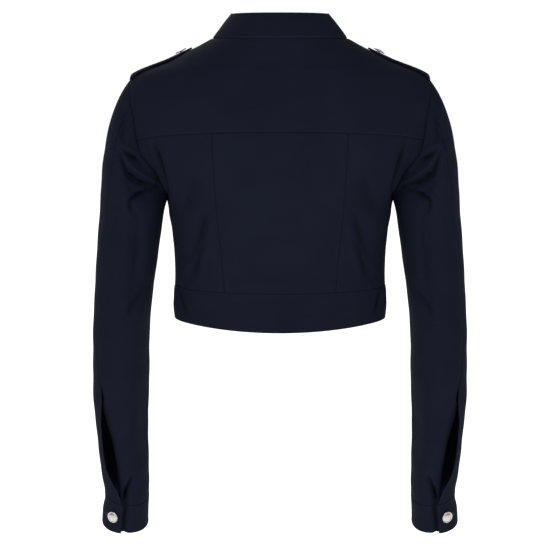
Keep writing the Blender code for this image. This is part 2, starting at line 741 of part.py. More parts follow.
def build_band(cloth):
    """The waistband: a back, and two fronts that lap as the fronts above them do."""
    turn, z, _, _ = back_grids()
    whole_turn, whole_z = mirrored(turn[:1], z[:1])
    points, normals = mirror_cloth(*band_rows(whole_turn[0], whole_z[0]))
    wall("waistband_back", points, normals, BAND_CLOTH, cloth)
    turn, z, _ = front_grid()
    points, normals = body_cloth(*with_lap(*band_rows(turn[0], z[0])))
    wall("waistband_front_left", points, normals, BAND_CLOTH, cloth, LEFT)
    wall("waistband_front_right", raised(points, normals), normals, BAND_CLOTH, cloth, RIGHT)


def build_collar(back_turn, front_base, cloth):
    """The stand collar, from one front end round the back of the neck to the other."""
    back_base = body_form(back_turn, NECK_Z)
    half = np.concatenate([front_base[:-1], back_base[::-1]])
    distance = np.concatenate([[0.0], np.cumsum(np.linalg.norm(np.diff(half, axis=0), axis=1))])
    near_end = [COLLAR_END_GAP + step for step in COLLAR_END_STEPS]
    kept = distance[distance > near_end[-1] + 3.0]
    distance = np.concatenate([near_end, kept])
    old = np.concatenate([[0.0], np.cumsum(np.linalg.norm(np.diff(half, axis=0), axis=1))])
    half = np.stack([np.interp(distance, old, half[:, i]) for i in range(3)], -1)
    distance = distance - COLLAR_END_GAP
    mirror = half[-2::-1] * np.array([-1.0, 1.0, 1.0])
    base = np.concatenate([half, mirror])
    flat = np.gradient(base, axis=0) * np.array([1.0, 1.0, 0])
    outward = unit(np.cross(flat, np.array([0, 0, 1.0])))
    outward *= np.sign((outward * base).sum(-1, keepdims=True))
    outward[[0, -1]] = [0.0, -1.0, 0.0]
    lean = np.interp(
        -base[:, 1], (-70.0, 0.0, 80.0), (COLLAR_LEAN_BACK, COLLAR_LEAN_SIDE, COLLAR_LEAN_FRONT)
    )
    lean = np.radians(lean)
    up = np.cos(lean)[:, None] * np.array([0, 0, 1.0]) - np.sin(lean)[:, None] * outward
    normals = np.cos(lean)[:, None] * outward + np.sin(lean)[:, None] * np.array([0, 0, 1.0])
    from_end = np.concatenate([distance, distance[-2::-1]])
    inside = np.clip(1 - from_end / COLLAR_CORNER, 0.0, 1.0)
    height = COLLAR_HEIGHT - COLLAR_CORNER * (1 - np.sqrt(np.maximum(1 - inside**2, 0.0)))
    share = np.linspace(0, 1, COLLAR_ROWS + 1)[:, None, None]
    points = base + up * height[:, None] * share
    shared = np.repeat(normals[None], COLLAR_ROWS + 1, 0)
    wall("collar", points, shared, COLLAR_CLOTH, cloth)


def sleeve_stations():
    cap = np.linspace(0, 1, CAP_ROWS + 1)
    arm = 1 + np.linspace(0, CAP_RING_Z - CUFF_SEAM_Z, ARM_ROWS + 1)[1:]
    return np.concatenate([cap, arm])


def sleeve_edges(station):
    """(back edge of the upper sleeve, front seam, back edge of the under sleeve), in degrees."""
    z = CAP_RING_Z - (np.maximum(station, 1.0) - 1.0)
    upper = table_at(BACK_SEAM, SEAM_COLUMNS, "upper_edge", z)
    under = table_at(BACK_SEAM, SEAM_COLUMNS, "under_edge", z)
    in_cap = ease(station, 0.0, 1.0)
    cap = table_at(CAP_SEAM, CAP_SEAM_COLUMNS, "turn", np.minimum(station, 1.0))
    upper = np.where(station < 1.0, cap, upper)
    under = np.where(station < 1.0, cap, under)
    front = ARMHOLE_FRONT_SEAM + (FRONT_SEAM - ARMHOLE_FRONT_SEAM) * in_cap
    return upper, front, under + 360.0


def spread(at_armhole, start, end, station):
    """Turns of a sleeve piece's columns: the armhole's own at the top, even ones further down."""
    at_armhole = np.array(at_armhole)
    first = (at_armhole - at_armhole[0]) / (at_armhole[-1] - at_armhole[0])
    even = np.linspace(0, 1, len(at_armhole))
    settle = ease(station, 0.0, 1.0)[:, None]
    share = first * (1 - settle) + even * settle
    return start[:, None] + (end - start)[:, None] * share


def build_sleeves(cloth):
    station = sleeve_stations()
    upper, front, under = sleeve_edges(station)
    above = [a for a in UPPER_TURNS if a >= ARMHOLE_BACK_SEAM]
    above += [180.0 - a for a in UPPER_TURNS[-2::-1]]
    above += [180.0 + a for a in LOWER_TURNS if 0 < a <= ARMHOLE_FRONT_SEAM - 180.0]
    below = [180.0 + a for a in LOWER_TURNS if a >= ARMHOLE_FRONT_SEAM - 180.0]
    below += [360.0 - a for a in LOWER_TURNS[-2::-1]]
    below += [360.0 + a for a in UPPER_TURNS if 0 < a <= ARMHOLE_BACK_SEAM]
    for name, columns, start, end in (
        ("sleeve_upper", above, upper, front),
        ("sleeve_under", below, front, under),
    ):
        turns = spread(columns, start, end, station)
        down_arm = np.maximum(station[:, None] - 1, 0) / (CAP_RING_Z - CUFF_SEAM_Z)
        bent = station[:, None] + down_arm**2 * (CUFF_SEAM_Z - cuff_seam_z(turns))
        points, normals = sleeve_cloth(turns, bent)
        for side, word in ((LEFT, "left"), (RIGHT, "right")):
            wall(f"{name}_{word}", points, normals, CLOTH, cloth, side)


def cuff_cloth(turn_degrees, z):
    """(points, normals) of the cuff, a strip that laps over its own end."""
    station = 1 + CAP_RING_Z - z
    points, normals = sleeve_form(turn_degrees, station), sleeve_normal(turn_degrees, station)
    lap = LAP - 2 * LAP * (turn_degrees - TAB_EDGE) / 360.0
    return points + normals * (lap - tab_trough(turn_degrees, z))[..., None], normals


def cuff_seam_z(turn_degrees):
    """The height of the seam between sleeve and cuff, higher on the outside of the arm."""
    outward = np.sin(np.radians(turn_degrees))
    return CUFF_SEAM_Z + np.where(outward > 0, CUFF_SEAM_RISE, CUFF_SEAM_FALL) * outward


def build_cuffs(cloth, metal):
    turns = np.linspace(TAB_EDGE, CUFF_UNDER_EDGE, CUFF_COLUMNS + 1)
    share = np.linspace(0, 1, CUFF_ROWS + 1)[:, None]
    hem = CUFF_HEM_Z + CUFF_HEM_SLANT * np.sin(np.radians(turns))
    seam = cuff_seam_z(turns)
    turns, z = np.broadcast_arrays(turns, seam + (hem - seam) * share)
    points, normals = cuff_cloth(turns, z)
    button_z = CUFF_SEAM_Z + (CUFF_HEM_Z - CUFF_SEAM_Z) * CUFF_BUTTON_SHARE
    seat, facing = cuff_cloth(np.array([[CUFF_BUTTON_TURN]]), np.array([[button_z]]))
    for side, word in ((LEFT, "left"), (RIGHT, "right")):
        wall(f"cuff_{word}", points, normals, CUFF_CLOTH, cloth, side)
        add_button(f"cuff_button_{word}", seat[0, 0], facing[0, 0], metal, side)


def height_on_body(x, y):
    """The height at which the body's top surface has this x and y, by halving."""
    low = np.full(np.broadcast(x, y).shape, -110.0)
    high = np.full(low.shape, 2.0)
    for _ in range(40):
        middle = (low + high) / 2
        half_width, back, front, fullness = body_section(middle)
        depth = np.where(y >= 0, back, front)
        turn = np.arctan2(x / half_width, y / depth)
        outside = np.hypot(x / half_width, y / depth) > 1 + fullness * np.sin(2 * turn) ** 2
        high = np.where(outside, middle, high)
        low = np.where(outside, low, middle)
    half_width, back, front, _ = body_section(low)
    return np.arctan2(x / half_width, y / np.where(y >= 0, back, front)), low


def strap_surface(along_share, across_share):
    """(points, normals) of the shoulder strap's outer face, from the armhole to its point."""
    x = STRAP_FROM_X + (STRAP_TO_X - STRAP_FROM_X) * along_share
    to_point = np.clip((x - STRAP_TO_X) / STRAP_POINT, 0.0, 1.0)
    half = STRAP_TIP_HALF_WIDTH + (STRAP_HALF_WIDTH - STRAP_TIP_HALF_WIDTH) * (1 - along_share)
    half = STRAP_POINT_HALF_WIDTH + (half - STRAP_POINT_HALF_WIDTH) * to_point
    turn, z = height_on_body(x, across_share * half)
    lift = LAY_GAP + STRAP_CLOTH + STRAP_LIFT * np.sin(math.pi * along_share) ** 2
    lift = lift + STRAP_END_LIFT * ease(along_share, 0.3, 0.0)
    normals = body_normal(turn, z)
    return body_form(turn, z) + normals * lift[..., None], normals


def build_straps(cloth, metal):
    point_share = 1 - STRAP_POINT / (STRAP_FROM_X - STRAP_TO_X)
    rows = np.concatenate([np.linspace(0, point_share, STRAP_ROWS), [(1 + point_share) / 2, 1.0]])
    across = np.linspace(-1, 1, STRAP_COLUMNS + 1)
    along_share, across_share = np.meshgrid(rows, across, indexing="ij")
    points, normals = strap_surface(along_share, across_share)
    button_share = (STRAP_FROM_X - STRAP_BUTTON_X) / (STRAP_FROM_X - STRAP_TO_X)
    seat, facing = strap_surface(np.array([button_share]), np.array([0.0]))
    for side, word in ((LEFT, "left"), (RIGHT, "right")):
        wall(f"shoulder_strap_{word}", points, normals, STRAP_CLOTH, cloth, side, inset=0.0)
        add_button(f"shoulder_button_{word}", seat[0], facing[0], metal, side)


def button_profile():
    """(radius, height) from the foot of the post to the top of the dome."""
    under = LAY_GAP + BUTTON_POST
    rim = under + BUTTON_RIM
    arc = [
        (BUTTON_RADIUS * math.cos(a), rim + BUTTON_DOME * math.sin(a))
        for a in (math.radians(30), math.radians(60))
    ]
    return [
        (0.0, LAY_GAP), (BUTTON_POST_RADIUS, LAY_GAP), (BUTTON_POST_RADIUS, under),
        (BUTTON_RADIUS * 0.94, under), (BUTTON_RADIUS, under + BUTTON_RIM / 2), *arc,
        (0.0, rim + BUTTON_DOME),
    ]


def add_button(name, seat, facing, material, side):
    """A domed metal button on its post, turned about its axis and set on the cloth."""
    bm = bmesh.new()
    line = [bm.verts.new((radius * MM, 0.0, height * MM)) for radius, height in button_profile()]
    edges = [bm.edges.new(pair) for pair in zip(line, line[1:])]
    bmesh.ops.spin(
        bm, geom=line + edges, cent=(0, 0, 0), axis=(0, 0, 1), dvec=(0, 0, 0),
        angle=FULL_TURN, steps=BUTTON_STEPS, use_merge=True,
    )
    bmesh.ops.remove_doubles(bm, verts=bm.verts, dist=0.00001)
    bmesh.ops.recalc_face_normals(bm, faces=bm.faces)
    mesh = bpy.data.meshes.new(name)
    bm.to_mesh(mesh)
    bm.free()
    mesh.materials.append(material)
    mesh.shade_smooth()
    mesh.set_sharp_from_angle(angle=math.radians(50))
    obj = bpy.data.objects.new(name, mesh)
    bpy.context.scene.collection.objects.link(obj)
    mirror = np.array([side, 1.0, 1.0])
    turn = Vector(facing * mirror).to_track_quat("Z", "Y")
    obj.matrix_world = Matrix.Translation(Vector(seat * mirror * MM)) @ turn.to_matrix().to_4x4()
    return obj


def front_face_at(z):
    """(seat, facing) on the right front's outer face at the centre line."""
    points, normals = body_cloth(np.array([math.pi]), np.array([z]))
    facing = unit(normals[0] * np.array([0, 1.0, 1.0]))
    return points[0] * np.array([0, 1.0, 1.0]) + facing * FRONT_RISE, facing


def build_front_buttons(metal):
    for number, z in enumerate(FRONT_BUTTONS, 1):
        seat, facing = front_face_at(z)
        add_button(f"front_button_{number}", seat, facing, metal, RIGHT)


def make_material(name):
    colour, roughness, metallic = COLOURS[name]
    material = bpy.data.materials.new(name)
    material.use_nodes = True
    shader = material.node_tree.nodes["Principled BSDF"]
    shader.inputs["Base Color"].default_value = colour
    shader.inputs["Roughness"].default_value = roughness
    shader.inputs["Metallic"].default_value = metallic
    return material


def clear_scene():
    for obj in list(bpy.data.objects):
        bpy.data.objects.remove(obj, do_unlink=True)


def main():
    clear_scene()
    cloth, metal = make_material("suiting"), make_material("button_metal")
    back_turn = build_back(cloth)
    front_base, _ = build_fronts(cloth)
    build_band(cloth)
    build_collar(back_turn, front_base, cloth)
    build_sleeves(cloth)
    build_cuffs(cloth, metal)
    build_straps(cloth, metal)
    build_front_buttons(metal)


main()
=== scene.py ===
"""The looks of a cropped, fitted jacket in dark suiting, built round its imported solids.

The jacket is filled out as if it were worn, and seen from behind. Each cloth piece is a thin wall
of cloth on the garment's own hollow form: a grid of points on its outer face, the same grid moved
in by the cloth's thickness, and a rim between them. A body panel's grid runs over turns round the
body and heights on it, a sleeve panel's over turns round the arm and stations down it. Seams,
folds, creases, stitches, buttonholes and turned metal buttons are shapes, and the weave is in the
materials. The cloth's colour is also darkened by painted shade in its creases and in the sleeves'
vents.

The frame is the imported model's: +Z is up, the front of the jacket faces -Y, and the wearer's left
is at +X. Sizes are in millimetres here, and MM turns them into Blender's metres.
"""

import logging
import math
from collections.abc import Callable, Iterable
from dataclasses import dataclass, field
from enum import Enum

import bpy
import numpy as np
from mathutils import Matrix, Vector


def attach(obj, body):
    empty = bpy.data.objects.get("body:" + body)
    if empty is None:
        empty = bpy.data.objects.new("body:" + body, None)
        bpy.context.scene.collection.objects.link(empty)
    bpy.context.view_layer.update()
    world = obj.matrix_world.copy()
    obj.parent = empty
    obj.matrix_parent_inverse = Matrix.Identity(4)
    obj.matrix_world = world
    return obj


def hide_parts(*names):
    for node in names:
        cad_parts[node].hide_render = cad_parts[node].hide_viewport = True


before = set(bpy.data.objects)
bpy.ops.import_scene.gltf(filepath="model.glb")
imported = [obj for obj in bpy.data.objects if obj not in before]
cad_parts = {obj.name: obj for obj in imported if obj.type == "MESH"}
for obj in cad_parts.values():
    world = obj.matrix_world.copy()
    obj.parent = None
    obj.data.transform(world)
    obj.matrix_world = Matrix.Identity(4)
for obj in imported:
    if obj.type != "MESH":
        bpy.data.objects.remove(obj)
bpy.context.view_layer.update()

Array = np.ndarray
Form = Callable[[Array, Array], Array]
LOG = logging.getLogger("jacket")
BODY = "root"
MM = 0.001
QUARTER = math.pi / 2
HALF_TURN = 180.0
FULL_TURN = 360.0


class Side(Enum):
    """Which half of the jacket a piece is on, as the wearer sees it."""

    LEFT = 1.0
    RIGHT = -1.0

    @property
    def word(self) -> str:
        """The side's name in the names of pieces and nodes."""
        return self.name.lower()


class Edge(Enum):
    """How one border of a cloth piece is finished."""

    SEAM = "sewn to its neighbour, so the cloth rolls in to the stitches"
    FOLDED = "folded over, so the edge is round"


class Slot(Enum):
    """The jacket's material slots."""

    SUITING = "suiting"
    METAL = "button_metal"


class Hold(Enum):
    """How a sheet of cloth is held."""

    HUNG = "hung"
    LAID = "laid"


def smooth_curve(knots: Array, values: Array, at: Array | float) -> Array:
    """A curve through knots that never swings past them.

    Between two knots it is the cubic with given values and tangents at both ends. A knot's tangent
    is the weighted harmonic mean of the slopes beside it, or level where they change sign.

    Args:
        knots: Rising places of the knots.
        values: The curve's value at each knot.
        at: Where the curve is wanted.

    Returns:
        The curve's values.
    """
    at = np.asarray(at, float)
    steps = np.diff(knots)
    slopes = np.diff(values) / steps
    tangents = np.concatenate([slopes[:1], np.zeros(len(knots) - 2), slopes[-1:]])
    same_way = slopes[:-1] * slopes[1:] > 0
    before = np.where(same_way, slopes[:-1], 1.0)
    after = np.where(same_way, slopes[1:], 1.0)
    weight_before = steps[:-1] + 2 * steps[1:]
    weight_after = 2 * steps[:-1] + steps[1:]
    mean = (weight_before + weight_after) / (weight_before / before + weight_after / after)
    tangents[1:-1] = np.where(same_way, mean, 0.0)
    i = np.clip(np.searchsorted(knots, at) - 1, 0, len(steps) - 1)
    h = steps[i]
    t = np.clip((at - knots[i]) / h, 0.0, 1.0)
    return (
        (2 * t**3 - 3 * t**2 + 1) * values[i]
        + (t**3 - 2 * t**2 + t) * h * tangents[i]
        + (3 * t**2 - 2 * t**3) * values[i + 1]
        + (t**3 - t**2) * h * tangents[i + 1]
    )


def ease(value: Array | float, start: float, end: float) -> Array:
    """A smooth step: 0 up to start, 1 from end on, and 3t^2 - 2t^3 between them."""
    t = np.clip((np.asarray(value, float) - start) / (end - start), 0.0, 1.0)
    return t * t * (3 - 2 * t)


def bell(distance: Array, width: float | Array) -> Array:
    """A bell curve that is 1 at no distance and 1/e at width."""
    return np.exp(-((distance / width) ** 2))


def unit(vectors: Array) -> Array:
    """The vectors at length 1."""
    return vectors / np.maximum(np.linalg.norm(vectors, axis=-1, keepdims=True), 1e-12)


def floats(*values: Array | float) -> list[Array]:
    """The values as arrays of numbers of one common shape."""
    return np.broadcast_arrays(*(np.asarray(value, float) for value in values))


def halve(reach: Callable[[Array], Array], wanted: Array, low: Array, high: Array) -> Array:
    """Finds by halving where reach, which rises or falls all the way, has the wanted value."""
    wanted, low, high = (value.copy() for value in floats(wanted, low, high))
    rising = reach(high) > reach(low)
    for _ in range(40):
        middle = (low + high) / 2
        past = (reach(middle) > wanted) == rising
        high = np.where(past, middle, high)
        low = np.where(past, low, middle)
    return (low + high) / 2


def surface_normal(form: Form, u: Array, v: Array, du: Array | float, dv: float) -> Array:
    """The outward normal of a surface: the cross product of a step down and a step across it."""
    across = form(u + du, v) - form(u - du, v)
    down = form(u, v + dv) - form(u, v - dv)
    return unit(np.cross(down, across))


@dataclass(frozen=True)
class Table:
    """A short table with named columns, each read as a smooth curve of the first one."""

    columns: tuple[str, ...]
    rows: tuple[tuple[float, ...], ...]

    def at(self, column: str, where: Array | float) -> Array:
        """The named column at the wanted places of the first one."""
        rows = np.array(sorted(self.rows))
        return smooth_curve(rows[:, 0], rows[:, self.columns.index(column)], where)

    def all_at(self, where: Array | float) -> list[Array]:
        """Every column but the first, at the wanted places of the first."""
        return [self.at(name, where) for name in self.columns[1:]]


@dataclass(frozen=True)
class Fold:
    """A trough pressed into the cloth along a line of (x, z) points, seen from one side.

    Attributes:
        name: What the fold is.
        line: The (x, z) points along the bottom of the trough.
        depth: How far in its bottom lies.
        left: How wide it is on the left of the line, looking along it with x to the right.
        right: How wide it is on the right.
        lip: How far the cloth stands out beside it, on its left where positive.
        behind: Whether it is on the back of the jacket.
        held: Whether its ends are as deep as its middle, as where it runs into a seam.
    """

    name: str
    line: tuple[tuple[float, float], ...]
    depth: float
    left: float
    right: float
    lip: float = 0.0
    behind: bool = True
    held: bool = False

    def press(self, points: Array, middle_y: Array | float) -> Array:
        """How far in the fold moves each point of a surface.

        The depth is a bell curve of the distance from the line, times a half sine wave along it
        raised to 0.6, so that both ends fade out. The lip is a bell curve as wide as the left or
        right side, 1.9 widths away. It is eased in over 12 mm on its own side of the garment.

        Args:
            points: The surface's points.
            middle_y: Where the middle of the body or arm is at each point.

        Returns:
            Distances in, in millimetres.
        """
        line = np.array(self.line, float)
        lengths = np.linalg.norm(np.diff(line, axis=0), axis=1)
        before = np.concatenate([[0.0], np.cumsum(lengths)])
        flat = points[..., [0, 2]]
        away = np.full(flat.shape[:-1], np.inf)
        share = np.zeros(away.shape)
        for i, length in enumerate(lengths):
            way = (line[i + 1] - line[i]) / length
            offset = flat - line[i]
            t = np.clip(offset @ way, 0.0, length)
            apart = np.linalg.norm(offset - t[..., None] * way, axis=-1)
            to_left = way[0] * offset[..., 1] - way[1] * offset[..., 0]
            signed = apart * np.where(to_left >= 0, 1.0, -1.0)
            nearer = apart < np.abs(away)
            away = np.where(nearer, signed, away)
            share = np.where(nearer, (before[i] + t) / before[-1], share)
        ends = np.sin(math.pi * np.clip(share, 0.02, 0.98)) ** 0.6
        if self.held:
            ends = ease(share, -0.02, 0.06) * (1 - ease(share, 0.94, 1.02))
        width = np.where(away >= 0, self.left, self.right)
        shape = self.depth * bell(away, width)
        lip_width = self.left if self.lip > 0 else self.right
        lip_at = 1.9 * math.copysign(lip_width, self.lip)
        shape = shape - abs(self.lip) * bell(away - lip_at, lip_width)
        own_side = (points[..., 1] - middle_y) * (1 if self.behind else -1)
        return shape * ends * ease(own_side, 0.0, 12.0)


@dataclass(frozen=True)
class Ripple:
    """The soft unevenness that sewn cloth has: three crossed waves of different lengths.

    Attributes:
        height: How far the waves reach each way.
        lengths: The waves' lengths.
        angles: The directions that they run in, in radians.
        phases: Where each wave starts, in radians.
    """

    height: float = 0.45
    lengths: tuple[float, ...] = (47.0, 71.0, 29.0)
    angles: tuple[float, ...] = (0.5, 2.3, 1.35)
    phases: tuple[float, ...] = (0.4, 2.1, 4.4)

    def at(self, points: Array) -> Array:
        """The sum of the waves, each a sine of the distance along its own direction."""
        total = np.zeros(points.shape[:-1])
        for length, angle, phase in zip(self.lengths, self.angles, self.phases):
            way = points[..., 0] * math.cos(angle) + points[..., 2] * math.sin(angle)
            depth_way = points[..., 1] * 0.35
            total += np.sin(2 * math.pi * (way + depth_way) / length + phase)
        return self.height * total / len(self.lengths)


@dataclass(frozen=True)
class BodyForm:
    """The hollow body of the jacket, as level sections that are ellipses with squared corners."""

    sections: Table = Table(
        ("z", "half_width", "back_depth", "front_depth", "fullness"),
        (
            (-400.0, 135.5, 88.0, 108.0, 0.0),
            (-368.0, 135.8, 87.0, 107.0, 0.0),
            (-357.0, 137.6, 85.5, 106.5, 0.005),
            (-343.0, 138.7, 84.0, 106.0, 0.015),
            (-326.0, 137.6, 83.0, 107.0, 0.025),
            (-306.0, 136.2, 85.0, 111.0, 0.032),
            (-286.0, 136.5, 91.0, 119.0, 0.035),
            (-266.0, 137.6, 97.5, 126.5, 0.040),
            (-246.0, 139.5, 103.0, 132.0, 0.040),
            (-227.0, 142.9, 108.0, 136.0, 0.040),
            (-214.0, 144.8, 110.5, 137.5, 0.040),
            (-205.0, 147.2, 112.0, 138.2, 0.040),
            (-197.5, 152.4, 113.0, 138.5, 0.040),
            (-181.5, 163.5, 114.5, 138.0, 0.040),
            (-168.5, 173.5, 115.0, 135.5, 0.038),
            (-156.5, 183.0, 115.0, 132.0, 0.034),
            (-142.0, 192.5, 114.5, 127.0, 0.030),
            (-111.5, 200.5, 110.5, 115.5, 0.025),
            (-81.5, 202.0, 104.0, 101.5, 0.020),
            (-62.0, 197.5, 98.0, 92.5, 0.010),
            (-51.0, 190.5, 94.0, 87.0, 0.0),
            (-43.7, 180.0, 91.0, 84.0, 0.0),
            (-38.8, 169.5, 89.0, 82.0, 0.0),
            (-34.0, 156.0, 86.5, 79.5, 0.0),
            (-29.0, 143.0, 84.0, 76.5, 0.0),
            (-24.5, 133.5, 82.0, 74.0, 0.0),
            (-19.5, 123.5, 80.0, 71.5, 0.0),
            (-10.0, 104.2, 76.0, 67.0, 0.0),
            (-5.0, 95.2, 74.0, 64.5, 0.0),
            (0.0, 86.3, 71.5, 62.0, 0.0),
            (8.0, 74.0, 66.0, 58.0, 0.0),
        ),
    )
    shoulder_z: float = -51.0
    underarm_z: float = -205.0
    armhole_back: float = 49.5
    armhole_front: float = 53.0
    waist_side: float = -315.8
    waist_back: float = -319.0
    waist_front: float = -318.0
    hem_side: float = -361.0
    hem_back: float = -368.5
    hem_front: float = -365.0
    waist_power: float = 2.2
    hem_power: float = 2.4
    ripple: Ripple = Ripple()
    folds: tuple[Fold, ...] = (
        Fold(
            "back armhole drape",
            ((166.0, -138.0), (163.0, -165.0), (158.0, -187.0), (151.0, -212.0)),
            5.5, 9.0, 9.0,
        ),
        Fold(
            "front armhole drape",
            ((158.0, -140.0), (156.0, -170.0), (152.0, -192.0), (146.0, -214.0)),
            5.0, 10.0, 10.0, behind=False,
        ),
        Fold(
            "wedge beside the back armhole",
            ((158.0, -128.0), (156.0, -148.0), (152.0, -170.0), (147.5, -192.0), (146.0, -208.0)),
            9.0, 3.4, 7.0, lip=-1.2,
        ),
        Fold(
            "upper drag line on the side back",
            ((104.0, -168.0), (112.0, -192.0), (121.0, -218.0)),
            3.6, 7.0, 10.0, lip=-1.0,
        ),
        Fold(
            "middle drag line on the side back",
            ((93.0, -214.0), (102.0, -242.0), (113.0, -268.0), (121.0, -284.0)),
            5.2, 12.0, 6.5, lip=-1.4,
        ),
        Fold(
            "lower drag line on the side back",
            ((95.0, -250.0), (103.0, -270.0), (109.0, -290.0), (114.0, -304.0)),
            4.4, 8.0, 5.0, lip=-1.2,
        ),
        Fold(
            "dip at the end of the band",
            ((131.5, -312.0), (129.0, -325.0), (125.5, -340.0), (121.0, -352.0)),
            3.4, 3.4, 3.2, lip=1.2,
        ),
        Fold(
            "front drag line under the arm",
            ((118.0, -196.0), (104.0, -222.0), (96.0, -250.0)),
            1.8, 9.0, 9.0, behind=False,
        ),
        Fold(
            "front waist crease",
            ((122.0, -268.0), (100.0, -280.0), (80.0, -284.0)),
            1.6, 7.0, 8.0, lip=0.4, behind=False,
        ),
    )

    def point(self, turn: Array, z: Array) -> Array:
        """A point of the smooth body.

        A level section is (half width x sin, depth x cos) of the turn, both times 1 + fullness x
        sin(2 turn)^2, with a back depth and a front depth. Turn 0 is the centre back, a quarter
        turn the side, and a half turn the centre front.

        Args:
            turn: Turns round the body, in radians.
            z: Heights.

        Returns:
            Points in millimetres.
        """
        turn, z = floats(turn, z)
        half_width, back, front, fullness = self.sections.all_at(z)
        depth = np.where(np.cos(turn) >= 0, back, front)
        full = 1 + fullness * np.sin(2 * turn) ** 2
        return np.stack([half_width * np.sin(turn) * full, depth * np.cos(turn) * full, z], -1)

    def normal(self, turn: Array, z: Array) -> Array:
        """The outward normal of the smooth body."""
        turn, z = floats(turn, z)
        return surface_normal(self.point, turn, z, 0.01, 0.4)

    def turn_at_x(self, x: Array, z: Array, front: bool) -> Array:
        """The turn at which the body is at x, on its back or its front."""
        start = math.pi if front else 0.0
        return halve(lambda turn: self.point(turn, z)[..., 0], x, start, QUARTER)

    def armhole(self, degrees: Array | float) -> tuple[Array, Array]:
        """(turn, z) on the armhole, an ellipse seen from the side.

        Args:
            degrees: 0 at the armhole's back, 90 at the shoulder, 180 in front, 270 under the arm.

        Returns:
            Turns round the body and heights.
        """
        around = np.radians(np.asarray(degrees, float))
        middle = (self.shoulder_z + self.underarm_z) / 2
        z = middle + (self.shoulder_z - middle) * np.sin(around)
        depth = np.where(np.cos(around) >= 0, self.armhole_back, self.armhole_front)
        y = depth * np.cos(around)

        def reach(turn: Array) -> Array:
            """How far back the body is at a turn."""
            return self.point(turn, z)[..., 1]

        back = halve(reach, np.maximum(y, 0), 0.3, QUARTER)
        front = halve(reach, np.minimum(y, 0), math.pi - 0.3, QUARTER)
        return np.where(y >= 0, back, front), z

    def pressed(self, points: Array) -> Array:
        """How far in the body's folds move each point."""
        return sum(fold.press(points, 0.0) for fold in self.folds)

    def cloth(self, turn: Array, z: Array) -> tuple[Array, Array]:
        """(points, normals) of the cloth's outer face, with its folds, on either half."""
        turn, z = floats(turn, z)
        other_half = np.where(turn < 0, -1.0, 1.0)
        flip = np.stack([other_half, np.ones(turn.shape), np.ones(turn.shape)], -1)
        points, normals = self.point(np.abs(turn), z), self.normal(np.abs(turn), z)
        moved = points - normals * self.pressed(points)[..., None]
        return moved * flip, normals * flip

    def waist_z(self, turn: Array) -> Array:
        """The height of the waistband's seam, lower at the centre by a power of the cosine."""
        end = np.where(np.cos(turn) >= 0, self.waist_back, self.waist_front)
        return self.waist_side + (end - self.waist_side) * np.abs(np.cos(turn)) ** self.waist_power

    def hem_z(self, turn: Array) -> Array:
        """The height of the hem, lower at the centre by a power of the cosine."""
        end = np.where(np.cos(turn) >= 0, self.hem_back, self.hem_front)
        return self.hem_side + (end - self.hem_side) * np.abs(np.cos(turn)) ** self.hem_power


